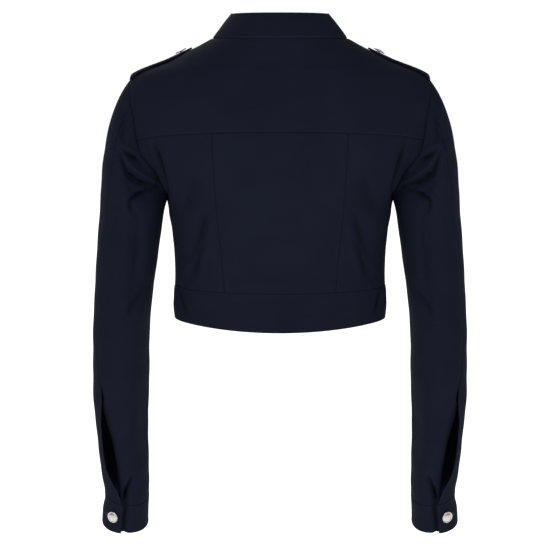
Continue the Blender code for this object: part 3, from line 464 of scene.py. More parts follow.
@dataclass(frozen=True)
class SleeveForm:
    """The hollow left sleeve: a cap that leaves the armhole, then tilted rings down the arm."""

    body: BodyForm = BodyForm()
    sections: Table = Table(
        ("z", "centre_x", "half_width", "centre_y", "back_depth", "front_depth", "tilt_degrees"),
        (
            (-660.0, 206.7, 30.8, -42.0, 38.5, 38.5, 12.0),
            (-642.0, 206.7, 30.8, -37.5, 38.5, 38.5, 12.0),
            (-622.0, 205.6, 30.5, -33.0, 38.5, 38.5, 12.0),
            (-602.0, 203.2, 29.2, -28.0, 38.5, 39.0, 12.0),
            (-590.5, 203.3, 29.6, -26.0, 39.0, 39.5, 12.0),
            (-569.0, 204.7, 31.1, -21.0, 40.0, 40.5, 11.0),
            (-548.0, 205.7, 32.1, -17.0, 41.5, 42.0, 9.5),
            (-506.0, 207.1, 33.9, -10.5, 43.5, 44.5, 7.5),
            (-465.0, 207.8, 35.9, -5.5, 46.0, 47.0, 5.5),
            (-424.0, 207.5, 36.8, -2.0, 48.0, 49.5, 4.0),
            (-384.0, 206.8, 36.9, 0.5, 50.0, 52.0, 2.5),
            (-344.5, 204.3, 37.3, 1.5, 52.5, 54.0, 1.5),
            (-305.0, 200.6, 39.0, 1.5, 55.5, 57.0, 1.0),
            (-266.0, 196.4, 40.2, 1.0, 58.0, 59.5, 0.5),
            (-240.0, 193.5, 41.0, 0.0, 59.0, 61.0, 0.0),
        ),
    )
    leaves: Table = Table(
        ("turn_degrees", "x", "y", "z"),
        (
            (0.0, 0.72, 0.34, -0.60),
            (90.0, 0.64, 0.0, -0.77),
            (180.0, 0.66, -0.40, -0.62),
            (270.0, 0.20, 0.0, -0.98),
            (360.0, 0.72, 0.34, -0.60),
        ),
    )
    vent_hollow: Table = Table(
        ("z", "depth"),
        (
            (-600.0, 0.8),
            (-590.0, 4.5),
            (-573.0, 10.5),
            (-552.0, 13.0),
            (-522.0, 10.5),
            (-490.0, 5.0),
            (-462.0, 1.2),
            (-440.0, 0.0),
        ),
    )
    vent_slit: Table = Table(
        ("z", "depth"),
        (
            (-606.0, 0.0),
            (-594.0, 5.0),
            (-578.0, 13.0),
            (-545.0, 16.0),
            (-505.0, 13.0),
            (-478.0, 7.0),
            (-462.0, 2.0),
            (-450.0, 0.0),
        ),
    )
    slit_edge: Table = Table(
        ("z", "turn_degrees"),
        (
            (-602.0, 370.0),
            (-577.0, 378.0),
            (-543.0, 389.0),
            (-501.0, 397.0),
            (-467.0, 404.0),
            (-450.0, 406.0),
        ),
    )
    ring_z: float = -240.0
    fullness: float = 0.03
    reach: float = 0.95
    hollow_start: float = 340.0
    hollow_full: float = 408.0
    slit_width: float = 22.0
    # How far round the arm the vent's painted shade reaches before the slit's edge, in degrees.
    slit_shadow: float = 24.0
    lap: float = 1.5
    lap_start_z: float = -430.0
    lap_full_z: float = -468.0
    tab_edge: float = 6.5
    trough_turn: float = 361.0
    trough_width: float = 8.0
    trough_depth: float = 4.2
    trough_from_z: float = -560.0
    trough_full_z: float = -590.0
    cuff_seam: float = -602.0
    cuff_rise: float = 8.0
    cuff_fall: float = 3.0
    ripple: Ripple = Ripple(0.55, (38.0, 83.0, 57.0), (1.1, 0.2, 2.6), (1.0, 3.3, 0.2))
    folds: tuple[Fold, ...] = (
        Fold(
            "underarm crease",
            (
                (219.0, -145.0), (206.0, -164.0), (196.0, -176.0), (183.0, -188.0),
                (171.0, -195.0), (158.0, -199.0),
            ),
            4.5, 8.0, 9.0,
        ),
        Fold(
            "sharp line of the underarm crease",
            (
                (206.5, -139.0), (198.0, -156.0), (189.5, -167.5), (179.5, -176.5),
                (170.0, -182.0), (159.0, -187.0), (149.0, -189.0),
            ),
            11.0, 5.5, 3.4, lip=-2.2,
        ),
        Fold(
            "short crease above it",
            ((202.5, -136.0), (191.0, -144.5), (178.0, -153.0), (167.0, -163.0)),
            4.4, 4.5, 3.0, lip=-1.2,
        ),
        Fold(
            "first pinch below the cap",
            ((198.0, -86.0), (198.5, -103.0), (202.5, -119.0), (209.0, -136.0)),
            3.4, 2.8, 4.5, lip=1.0,
        ),
        Fold(
            "second pinch below the cap",
            ((197.5, -107.0), (199.5, -122.0), (195.0, -136.0)),
            3.2, 3.0, 4.0, lip=0.9,
        ),
        Fold(
            "curl under the arm",
            (
                (152.0, -191.5), (166.7, -191.7), (178.1, -194.8), (188.3, -202.5),
                (189.0, -210.5), (184.5, -220.0),
            ),
            4.6, 2.8, 7.0, lip=1.5,
        ),
        Fold(
            "inner arm drape",
            (
                (184.5, -214.0), (181.5, -232.0), (180.5, -252.0), (182.0, -275.0),
                (187.0, -300.0), (194.5, -330.0),
            ),
            6.0, 12.0, 9.0,
        ),
        Fold(
            "edge of the inner arm drape",
            (
                (186.0, -214.0), (185.0, -236.0), (185.0, -262.0), (190.0, -296.0),
                (197.0, -330.0), (200.0, -356.0),
            ),
            -2.4, 12.0, 5.0,
        ),
        Fold(
            "slanting line at the elbow",
            ((168.0, -312.0), (178.0, -327.0), (188.0, -339.0), (194.0, -352.0)),
            4.0, 6.0, 3.5, lip=1.2,
        ),
        Fold(
            "drape along the inner forearm",
            ((178.0, -440.0), (176.0, -480.0), (177.5, -530.0), (181.0, -566.0)),
            3.6, 9.0, 6.0,
        ),
        Fold(
            "fork above the cuff tab",
            ((208.0, -606.0), (202.5, -593.0), (197.0, -579.0), (192.0, -566.0)),
            5.0, 3.4, 3.2, lip=1.1,
        ),
        Fold(
            "front underarm crease",
            (
                (221.0, -150.0), (207.0, -172.0), (192.0, -186.0), (176.0, -196.0),
                (160.0, -201.0),
            ),
            5.5, 8.0, 10.0, lip=0.8, behind=False,
        ),
        Fold(
            "front elbow crease",
            ((181.0, -352.0), (197.0, -366.0), (214.0, -374.0), (230.0, -376.0)),
            4.0, 10.0, 12.0, behind=False,
        ),
        Fold(
            "second front elbow crease",
            ((184.0, -388.0), (199.0, -398.0), (216.0, -402.0)),
            1.8, 5.0, 7.0, lip=0.5, behind=False,
        ),
    )

    def ring(self, degrees: Array, z: Array) -> Array:
        """A point on a ring of the arm.

        A ring is (half width x sin, depth x cos) of the turn round a centre, both times 1 +
        fullness x sin(2 turn)^2, and it is tilted, so that it is lower at the back of the arm.

        Args:
            degrees: Turns round the arm. 0 is its back, 90 its outside, 180 its front.
            z: The height of the ring's middle.

        Returns:
            Points in millimetres.
        """
        degrees, z = floats(degrees, z)
        turn = np.radians(degrees)
        centre_x, half_width, centre_y, back, front, tilt = self.sections.all_at(z)
        full = 1 + self.fullness * np.sin(2 * turn) ** 2
        x = half_width * np.sin(turn) * full
        y = np.where(np.cos(turn) >= 0, back, front) * np.cos(turn) * full
        return np.stack([centre_x + x, centre_y + y, z - np.tan(np.radians(tilt)) * y], -1)

    def armhole_point(self, degrees: Array) -> Array:
        """The armhole's seam, pressed in where the body's folds run up to it."""
        turn, z = self.body.armhole(degrees)
        points = self.body.point(turn, z)
        return points - self.body.normal(turn, z) * self.body.pressed(points)[..., None]

    def point(self, degrees: Array, station: Array) -> Array:
        """A point of the smooth sleeve.

        Stations 0 to 1 are the cap: at each turn a cubic curve that starts on the armhole in the
        way the cloth leaves it, and ends on the first ring in the way the arm runs. Below it a
        station is 1 plus the distance down from that ring.

        Args:
            degrees: Turns round the arm.
            station: How far along the sleeve.

        Returns:
            Points in millimetres.
        """
        degrees, station = floats(degrees, station)
        below = self.ring(degrees, np.minimum(self.ring_z - (station - 1), self.ring_z))
        if (station > 1.0).all():
            return below
        t = np.clip(station, 0.0, 1.0)[..., None]
        start, end = self.armhole_point(degrees), self.ring(degrees, self.ring_z)
        leaves = unit(np.stack(self.leaves.all_at(np.mod(degrees, FULL_TURN)), -1))
        arrives = unit(self.ring(degrees, self.ring_z - 10.0) - end)
        reach = self.reach * np.linalg.norm(end - start, axis=-1, keepdims=True)
        cap = (
            (2 * t**3 - 3 * t**2 + 1) * start
            + (t**3 - 2 * t**2 + t) * reach * leaves
            + (3 * t**2 - 2 * t**3) * end
            + (t**3 - t**2) * reach * arrives
        )
        return np.where((station <= 1.0)[..., None], cap, below)

    def normal(self, degrees: Array, station: Array) -> Array:
        """The outward normal of the smooth sleeve."""
        degrees, station = floats(degrees, station)
        step = np.where(station < 1.0, 0.01, 1.0)
        low = np.maximum(station - step, 0.0)
        down = self.point(degrees, station + step) - self.point(degrees, low)
        across = self.point(degrees + 1.0, station) - self.point(degrees - 1.0, station)
        return unit(np.cross(across, down))

    def seam_normal(self, degrees: Array) -> Array:
        """The normal that the body and the sleeve share along the armhole."""
        return unit(self.body.normal(*self.body.armhole(degrees)) + self.normal(degrees, 0.0))

    def height(self, station: Array) -> Array:
        """The height of the ring's middle at a station, or that of the first ring in the cap."""
        return self.ring_z - (np.maximum(station, 1.0) - 1.0)

    def tab_trough(self, degrees: Array, z: Array) -> Array:
        """How far the under layer is pressed in beside the edge of the cuff's tab."""
        across = bell(degrees - self.trough_turn, self.trough_width)
        return self.trough_depth * across * ease(z, self.trough_from_z, self.trough_full_z)

    def lap_at(self, degrees: Array) -> Array:
        """How far out the layer lies: out where it starts, and falling evenly round the arm."""
        return self.lap - 2 * self.lap * (degrees - self.tab_edge) / FULL_TURN

    def cloth(self, degrees: Array, station: Array) -> tuple[Array, Array]:
        """(points, normals) of the cloth's outer face: laps, the vent's hollow and folds."""
        degrees, station = floats(degrees, station)
        z = self.height(station)
        points, normals = self.point(degrees, station), self.normal(degrees, station)
        out = self.lap_at(degrees) * ease(z, self.lap_start_z, self.lap_full_z)
        below = station > 1.0
        hollow = self.vent_hollow.at("depth", z) * ease(degrees, self.hollow_start, self.hollow_full)
        edge = self.slit_edge.at("turn_degrees", z)
        slit = self.vent_slit.at("depth", z) * ease(degrees, edge, edge + self.slit_width)
        middle_y = np.where(below, self.sections.at("centre_y", z), 0.0)
        pressed = sum(fold.press(points, middle_y) for fold in self.folds)
        pressed = pressed * ease(station, 0.0, 0.1) + self.tab_trough(degrees, z)
        out = out - (hollow + slit) * below - pressed
        points = points + normals * out[..., None]
        near_seam = (1 - ease(station, 0.0, 0.12))[..., None]
        return points, unit(normals * (1 - near_seam) + self.seam_normal(degrees) * near_seam)

    def vent_shade(self, degrees: Array, station: Array) -> Array:
        """How much painted shade the under layer gets in the vent, from 0 to 1."""
        degrees, station = floats(degrees, station)
        z = self.height(station)
        edge = self.slit_edge.at("turn_degrees", z)
        near = ease(degrees, edge - self.slit_shadow, edge + 6.0)
        return near * np.clip(self.vent_slit.at("depth", z) / 8.0, 0.0, 1.0) * (station > 1.0)

    def cuff_seam_z(self, degrees: Array) -> Array:
        """The height of the seam between sleeve and cuff: a sine round the arm, higher outside."""
        outward = np.sin(np.radians(degrees))
        return self.cuff_seam + np.where(outward > 0, self.cuff_rise, self.cuff_fall) * outward

    def cuff_cloth(self, degrees: Array, z: Array) -> tuple[Array, Array]:
        """(points, normals) of the cuff, a strip that laps over its own end."""
        station = 1 + self.ring_z - z
        points, normals = self.point(degrees, station), self.normal(degrees, station)
        out = self.lap_at(degrees) - self.tab_trough(degrees, z)
        return points + normals * out[..., None], normals


@dataclass
class Sheet:
    """A grid of cloth: its outer face before the edges are finished.

    Attributes:
        points: Rows and columns of points.
        normals: The outward normal at each point.
        edges: How the first row, last row, first column and last column are finished.
        shade: How much extra painted shade each point gets, beyond what its own creases give.
    """

    points: Array
    normals: Array
    edges: tuple[Edge, Edge, Edge, Edge]
    shade: Array | float = 0.0

    def rippled(self, ripple: Ripple) -> "Sheet":
        """The sheet with soft unevenness that fades out at its borders."""
        fade = ease(np.minimum.reduce(self.border_distances()), 0.0, 14.0)
        out = (ripple.at(self.points) * fade)[..., None]
        return Sheet(self.points + self.normals * out, self.normals, self.edges, self.shade)

    def lengths(self, axis: int) -> Array:
        """The distance along the grid's lines from the first row or column."""
        steps = np.linalg.norm(np.diff(self.points, axis=axis), axis=-1)
        start = np.zeros_like(np.take(steps, [0], axis=axis))
        return np.cumsum(np.concatenate([start, steps], axis=axis), axis=axis)

    def border_distances(self) -> list[Array]:
        """The distances of each point from the four borders, along the grid's lines."""
        down, across = self.lengths(0), self.lengths(1)
        return [down, down[-1:] - down, across, across[:, -1:] - across]

    def painted_crease_shade(self, reach: float = 5.0, full: float = 2.6) -> Array:
        """How much painted shade each point gets for lying in a crease, from 0 to 1.

        It is how far the mean of the points a reach away, up, down, left and right, lies out of
        the point, along its normal, as a share of the full depth, plus the sheet's extra painted shade.

        Args:
            reach: About how far away those points are, in millimetres.
            full: The depth that counts as 1.

        Returns:
            A share for each point.
        """
        total = np.zeros_like(self.points)
        for axis in (0, 1):
            count = self.points.shape[axis]
            spacing = self.lengths(axis).max() / count
            step = max(int(round(reach / spacing)), 1)
            index = np.arange(count)
            for shift in (-step, step):
                total += np.take(self.points, np.clip(index + shift, 0, count - 1), axis=axis)
        out = ((total / 4 - self.points) * self.normals).sum(-1)
        return np.clip(out / full + self.shade, 0.0, 1.0)

    def line_at(self, border: int, inset: float) -> tuple[Array, Array]:
        """The line on the sheet that runs a set distance inside one border.

        Args:
            border: 0 the first row, 1 the last row, 2 the first column, 3 the last column.
            inset: The distance from that border.

        Returns:
            The line's points and normals.
        """
        points, normals = self.points, self.normals
        away = self.border_distances()[border]
        if border > 1:
            points, normals = points.transpose(1, 0, 2), normals.transpose(1, 0, 2)
            away = away.T
        if border % 2:
            points, normals, away = points[::-1], normals[::-1], away[::-1]
        i = np.clip((away < inset).sum(0), 1, len(away) - 1)
        j = np.arange(away.shape[1])
        t = ((inset - away[i - 1, j]) / (away[i, j] - away[i - 1, j]))[:, None]
        return (
            points[i - 1, j] * (1 - t) + points[i, j] * t,
            unit(normals[i - 1, j] * (1 - t) + normals[i, j] * t),
        )


@dataclass(frozen=True)
class ClothWall:
    """How a sheet becomes a closed wall of cloth.

    Attributes:
        thickness: How thick the wall is.
        seam_inset: How far short of the seam line a sewn edge stops.
        seam_depth: How far a sewn edge rolls in.
        seam_width: How wide that roll is.
        pucker: How far the stitches draw the cloth in beside a sewn edge.
        pucker_length: The distance from one pucker to the next.
    """

    thickness: float = 1.5
    seam_inset: float = 0.045
    seam_depth: float = 0.95
    seam_width: float = 2.1
    pucker: float = 0.09
    pucker_length: float = 7.5

    def roll(self, away: Array, edge: Edge) -> tuple[Array, Array]:
        """How far in the outer face and how far out the inner face goes near a border.

        A seam rolls the outer face in by the square of the share of its width that is left. A
        folded edge is a half circle as thick as the wall, so each face follows 1 - sqrt(1 - t^2).

        Args:
            away: Distances from the border.
            edge: How the border is finished.

        Returns:
            The outer face's and the inner face's distances.
        """
        if edge is Edge.SEAM:
            left = np.clip(1 - away / self.seam_width, 0.0, 1.0)
            return self.seam_depth * left**2, np.zeros_like(away)
        half = self.thickness / 2
        left = np.clip(1 - away / half, 0.0, 1.0)
        bend = 0.82 * half * (1 - np.sqrt(np.maximum(1 - left**2, 0.0)))
        return bend, bend

    def faces_of(self, sheet: Sheet) -> tuple[Array, Array]:
        """The outer and the inner grid of the wall, with their borders finished."""
        drop = np.zeros(sheet.points.shape[:2])
        lift = np.zeros_like(drop)
        distances = sheet.border_distances()
        for away, edge, along in zip(distances, sheet.edges, distances[2:] + distances[:2]):
            outer, inner = self.roll(away, edge)
            drop, lift = drop + outer, lift + inner
            if edge is Edge.SEAM:
                wave = 1 + np.sin(2 * math.pi * along / self.pucker_length + 0.7 * np.sin(along / 19))
                drop = drop + self.pucker * wave * bell(away - 2.0, 3.0)
        outer = sheet.points - sheet.normals * drop[..., None]
        inner = sheet.points - sheet.normals * (self.thickness - lift)[..., None]
        steps = ((0, 1), (-1, -2))
        for grid in (outer, inner):
            for (border, next_one), edge in zip(steps, sheet.edges[:2]):
                inset = self.seam_inset if edge is Edge.SEAM else 0.0
                grid[border] += unit(sheet.points[next_one] - sheet.points[border]) * inset
            for (border, next_one), edge in zip(steps, sheet.edges[2:]):
                inset = self.seam_inset if edge is Edge.SEAM else 0.0
                way = unit(sheet.points[:, next_one] - sheet.points[:, border])
                grid[:, border] += way * inset
        return outer, inner

    def build(self, name: str, sheet: Sheet, side: Side, material: bpy.types.Material) -> bpy.types.Object:
        """Builds the wall as an object with a flat map of its cloth.

        Args:
            name: The piece's name.
            sheet: The cloth's grid on the left of the jacket.
            side: The half that the piece is for.
            material: The cloth's finish.

        Returns:
            The piece, with no body yet.
        """
        outer, inner = self.faces_of(sheet)
        rows, columns = outer.shape[:2]
        count = rows * columns
        vertices = np.concatenate([outer.reshape(-1, 3), inner.reshape(-1, 3)])
        corner = np.arange(count).reshape(rows, columns)
        quads = np.stack([corner[:-1, :-1], corner[:-1, 1:], corner[1:, 1:], corner[1:, :-1]], -1)
        quads = quads.reshape(-1, 4)
        border = np.concatenate([
            corner[0, :-1], corner[:-1, -1], corner[-1, :0:-1], corner[:0:-1, 0],
        ])
        after = np.roll(border, -1)
        rim = np.stack([after, border, border + count, after + count], -1)
        faces = np.concatenate([quads, quads[:, ::-1] + count, rim])
        flat = np.stack([sheet.lengths(1), sheet.lengths(0)], -1).reshape(-1, 2)
        middle = sheet.points.reshape(rows, columns, 3)[rows // 2, columns // 2]
        outward = sheet.normals[rows // 2, columns // 2]
        first = middle + 0.0
        across = sheet.points[rows // 2, columns // 2 + 1] - first
        down = sheet.points[rows // 2 + 1, columns // 2] - first
        facing_out = float(np.dot(np.cross(across, down), outward)) > 0
        # Painted shade: each point's crease depth, plus the sheet's extra shade, goes on the mesh as an
        # attribute that darkens the cloth's colour.
        return add_mesh(
            name, vertices * np.array([side.value, 1.0, 1.0]), faces, material,
            flip=facing_out != (side is Side.LEFT), flat=np.concatenate([flat, flat]),
            painted_crease_shade=np.tile(sheet.painted_crease_shade().ravel(), 2),
        )


def add_mesh(
    name: str,
    vertices: Array,
    faces: Array,
    material: bpy.types.Material,
    flip: bool = False,
    flat: Array | None = None,
    painted_crease_shade: Array | None = None,
    sharp_degrees: float = 50.0,
) -> bpy.types.Object:
    """Puts whole arrays of points and four-sided faces into a mesh.

    Args:
        name: The piece's name.
        vertices: Points in millimetres.
        faces: Rows of four corners.
        material: The piece's finish.
        flip: Whether the faces run the wrong way round.
        flat: Each point's place on the flat cloth, in millimetres, for the piece's UV map.
        painted_crease_shade: How much painted shade each point gets, in creases and in the vent, for the
            finish to darken the cloth's colour by.
        sharp_degrees: Edges bent more than this are shaded sharp.

    Returns:
        The new object, at the origin.
    """
    faces = np.ascontiguousarray(faces[:, ::-1] if flip else faces, dtype=np.int32)
    mesh = bpy.data.meshes.new(name)
    mesh.vertices.add(len(vertices))
    mesh.vertices.foreach_set("co", (vertices * MM).astype(np.float32).ravel())
    mesh.loops.add(faces.size)
    mesh.loops.foreach_set("vertex_index", faces.ravel())
    mesh.polygons.add(len(faces))
    mesh.polygons.foreach_set("loop_start", np.arange(0, faces.size, 4, dtype=np.int32))
    if flat is not None:
        layer = mesh.uv_layers.new(name="flat cloth")
        layer.data.foreach_set("uv", (flat * MM)[faces.ravel()].astype(np.float32).ravel())
    # Painted shade for creases and the vent, stored per point for the finish to darken the colour by.
    if painted_crease_shade is not None:
        layer = mesh.attributes.new("painted_crease_shade", "FLOAT", "POINT")
        layer.data.foreach_set("value", painted_crease_shade.astype(np.float32))
    mesh.update(calc_edges=True)
    mesh.validate()
    mesh.materials.append(material)
    mesh.shade_smooth()
    mesh.set_sharp_from_angle(angle=math.radians(sharp_degrees))
    piece = bpy.data.objects.new(name, mesh)
    bpy.context.scene.collection.objects.link(piece)
    return piece


def settle(piece: bpy.types.Object, slot: Slot, *nodes: str) -> bpy.types.Object:
    """Fixes a piece to the jacket's one body, hides the imported nodes that it stands for and logs them.
    """
    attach(piece, BODY)
    if nodes:
        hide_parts(*nodes)
    LOG.info("%s: %d faces, for %s", piece.name, len(piece.data.polygons), nodes or "its panel")
    return piece


def fine_steps(start: float, stop: float, length: float, spacing: float) -> Array:
    """Even steps with extra ones next to both ends, for the rolled edges.

    Args:
        start: The first value.
        stop: The last value.
        length: About how long the stretch is, in millimetres.
        spacing: The wanted distance between steps, in millimetres.

    Returns:
        Values from start to stop.
    """
    near = np.array([0.25, 0.55, 0.95, 1.45, 2.1]) / length
    even = np.linspace(0, 1, max(int(round(length / spacing)), 3) + 1)
    clear = near[-1] + 0.4 * spacing / length
    inner = even[(even > clear) & (even < 1 - clear)]
    share = np.concatenate([[0.0], near, inner, 1 - near[::-1], [1.0]])
    return start + (stop - start) * share


@dataclass(frozen=True)
class Suiting:
    """Fine twill suiting: a diagonal rib, uneven dye, a soft nap, a little sheen, and painted shade in its
    creases.

    Attributes:
        dark: The colour of the grooves between the ribs.
        light: The colour of the ribs.
        rib: The distance from one rib to the next, in millimetres.
        roughness: How matt the cloth is.
        specular: How much it shines face on.
        sheen: How much the nap lights up at a glancing angle.
        shaded: How much of the dark colour is left where the painted crease shade is full.
    """

    dark: tuple[float, float, float] = (0.0038, 0.0048, 0.0098)
    light: tuple[float, float, float] = (0.0070, 0.0086, 0.0170)
    rib: float = 0.62
    roughness: float = 0.88
    specular: float = 0.03
    sheen: float = 0.006
    shaded: float = 0.25

    def material(self, name: str) -> bpy.types.Material:
        """Builds the material: ribs on the flat cloth's map, cloudy dye on the whole piece, and painted
        shade that darkens the colour in creases and in the sleeves' vents.
        """
        material = bpy.data.materials.new(name)
        material.use_nodes = True
        nodes, links = material.node_tree.nodes, material.node_tree.links
        shader = nodes["Principled BSDF"]
        place = nodes.new("ShaderNodeTexCoord")
        ribs = nodes.new("ShaderNodeTexWave")
        ribs.wave_type, ribs.bands_direction, ribs.wave_profile = "BANDS", "DIAGONAL", "SIN"
        ribs.inputs["Scale"].default_value = 2 * math.pi / (10.0 * self.rib * MM)
        ribs.inputs["Distortion"].default_value = 1.2
        ribs.inputs["Detail"].default_value = 2.0
        links.new(place.outputs["UV"], ribs.inputs["Vector"])
        yarn = nodes.new("ShaderNodeTexNoise")
        yarn.inputs["Scale"].default_value = 1 / (1.4 * MM)
        yarn.inputs["Detail"].default_value = 3.0
        links.new(place.outputs["UV"], yarn.inputs["Vector"])
        cloud = nodes.new("ShaderNodeTexNoise")
        cloud.inputs["Scale"].default_value = 1 / (55 * MM)
        cloud.inputs["Detail"].default_value = 4.0
        links.new(place.outputs["Object"], cloud.inputs["Vector"])
        woven = nodes.new("ShaderNodeMix")
        woven.inputs["Factor"].default_value = 0.45
        links.new(ribs.outputs["Fac"], woven.inputs["A"])
        links.new(yarn.outputs["Fac"], woven.inputs["B"])
        uneven = nodes.new("ShaderNodeMix")
        uneven.inputs["Factor"].default_value = 0.3
        links.new(woven.outputs["Result"], uneven.inputs["A"])
        links.new(cloud.outputs["Fac"], uneven.inputs["B"])
        dye = nodes.new("ShaderNodeValToRGB")
        dye.color_ramp.elements[0].position = 0.2
        dye.color_ramp.elements[0].color = (*self.dark, 1.0)
        dye.color_ramp.elements[1].position = 0.8
        dye.color_ramp.elements[1].color = (*self.light, 1.0)
        links.new(uneven.outputs["Result"], dye.inputs["Fac"])
        # Painted shade: the colour is mixed towards a darker navy by the piece's painted crease shade
        # attribute.
        painted_crease_shade = nodes.new("ShaderNodeAttribute")
        painted_crease_shade.attribute_name = "painted_crease_shade"
        shade = nodes.new("ShaderNodeMix")
        shade.data_type = "RGBA"
        shade.inputs["B"].default_value = (*(self.shaded * value for value in self.dark), 1.0)
        links.new(painted_crease_shade.outputs["Fac"], shade.inputs["Factor"])
        links.new(dye.outputs["Color"], shade.inputs["A"])
        links.new(shade.outputs["Result"], shader.inputs["Base Color"])
        relief = nodes.new("ShaderNodeBump")
        relief.inputs["Strength"].default_value = 0.35
        relief.inputs["Distance"].default_value = 0.12 * MM
        links.new(woven.outputs["Result"], relief.inputs["Height"])
        links.new(relief.outputs["Normal"], shader.inputs["Normal"])
        shader.inputs["Roughness"].default_value = self.roughness
        shader.inputs["Specular IOR Level"].default_value = self.specular
        shader.inputs["Sheen Weight"].default_value = self.sheen
        shader.inputs["Sheen Roughness"].default_value = 0.45
        shader.inputs["Sheen Tint"].default_value = (0.62, 0.68, 1.0, 1.0)
        return material


@dataclass(frozen=True)
class Thread:
    """Sewing thread in the cloth's own colour, a little shinier than the cloth."""

    colour: tuple[float, float, float] = (0.0095, 0.0108, 0.0235)
    twist: float = 0.35
    roughness: float = 0.6

    def material(self, name: str) -> bpy.types.Material:
        """Builds the material: fine slanting bands for the thread's twist."""
        material = bpy.data.materials.new(name)
        material.use_nodes = True
        nodes, links = material.node_tree.nodes, material.node_tree.links
        shader = nodes["Principled BSDF"]
        place = nodes.new("ShaderNodeTexCoord")
        twist = nodes.new("ShaderNodeTexWave")
        twist.wave_type, twist.bands_direction = "BANDS", "DIAGONAL"
        twist.inputs["Scale"].default_value = 2 * math.pi / (10.0 * self.twist * MM)
        links.new(place.outputs["Object"], twist.inputs["Vector"])
        shade = nodes.new("ShaderNodeValToRGB")
        shade.color_ramp.elements[0].color = (*(0.6 * value for value in self.colour), 1.0)
        shade.color_ramp.elements[1].color = (*self.colour, 1.0)
        links.new(twist.outputs["Fac"], shade.inputs["Fac"])
        links.new(shade.outputs["Color"], shader.inputs["Base Color"])
        shader.inputs["Roughness"].default_value = self.roughness
        shader.inputs["Specular IOR Level"].default_value = 0.3
        return material


@dataclass(frozen=True)
class SatinNickel:
    """Plated metal with a satin surface and fine wear."""

    bright: tuple[float, float, float] = (0.47, 0.45, 0.43)
    worn: tuple[float, float, float] = (0.36, 0.34, 0.325)
    roughness_low: float = 0.22
    roughness_high: float = 0.36

    def material(self, name: str) -> bpy.types.Material:
        """Builds the material: cloudy plating and roughness, with a very fine grain."""
        material = bpy.data.materials.new(name)
        material.use_nodes = True
        nodes, links = material.node_tree.nodes, material.node_tree.links
        shader = nodes["Principled BSDF"]
        place = nodes.new("ShaderNodeTexCoord")
        wear = nodes.new("ShaderNodeTexNoise")
        wear.inputs["Scale"].default_value = 1 / (2.2 * MM)
        wear.inputs["Detail"].default_value = 5.0
        links.new(place.outputs["Object"], wear.inputs["Vector"])
        plate = nodes.new("ShaderNodeValToRGB")
        plate.color_ramp.elements[0].position = 0.3
        plate.color_ramp.elements[0].color = (*self.worn, 1.0)
        plate.color_ramp.elements[1].position = 0.7
        plate.color_ramp.elements[1].color = (*self.bright, 1.0)
        links.new(wear.outputs["Fac"], plate.inputs["Fac"])
        links.new(plate.outputs["Color"], shader.inputs["Base Color"])
        matt = nodes.new("ShaderNodeMapRange")
        matt.inputs["To Min"].default_value = self.roughness_low
        matt.inputs["To Max"].default_value = self.roughness_high
        links.new(wear.outputs["Fac"], matt.inputs["Value"])
        links.new(matt.outputs["Result"], shader.inputs["Roughness"])
        grain = nodes.new("ShaderNodeTexNoise")
        grain.inputs["Scale"].default_value = 1 / (0.25 * MM)
        links.new(place.outputs["Object"], grain.inputs["Vector"])
        relief = nodes.new("ShaderNodeBump")
        relief.inputs["Strength"].default_value = 0.12
        relief.inputs["Distance"].default_value = 0.03 * MM
        links.new(grain.outputs["Fac"], relief.inputs["Height"])
        links.new(relief.outputs["Normal"], shader.inputs["Normal"])
        shader.inputs["Metallic"].default_value = 1.0
        return material


@dataclass(frozen=True)
class StagePaper:
    """Pale, matt studio paper."""

    colour: tuple[float, float, float] = (0.93, 0.93, 0.93)
    glow: float = 1.0

    def material(self, name: str) -> bpy.types.Material:
        """Builds the material, which glows a little so that the ground stays white."""
        material = bpy.data.materials.new(name)
        material.use_nodes = True
        shader = material.node_tree.nodes["Principled BSDF"]
        shader.inputs["Base Color"].default_value = (*self.colour, 1.0)
        shader.inputs["Roughness"].default_value = 0.95
        shader.inputs["Specular IOR Level"].default_value = 0.0
        shader.inputs["Emission Color"].default_value = (1.0, 1.0, 1.0, 1.0)
        shader.inputs["Emission Strength"].default_value = self.glow
        return material


@dataclass
class Finishes:
    """The jacket's materials, made once."""

    cloth: bpy.types.Material = field(default_factory=lambda: Suiting().material("suiting"))
    thread: bpy.types.Material = field(default_factory=lambda: Thread().material("sewing thread"))
    metal: bpy.types.Material = field(default_factory=lambda: SatinNickel().material("satin nickel"))


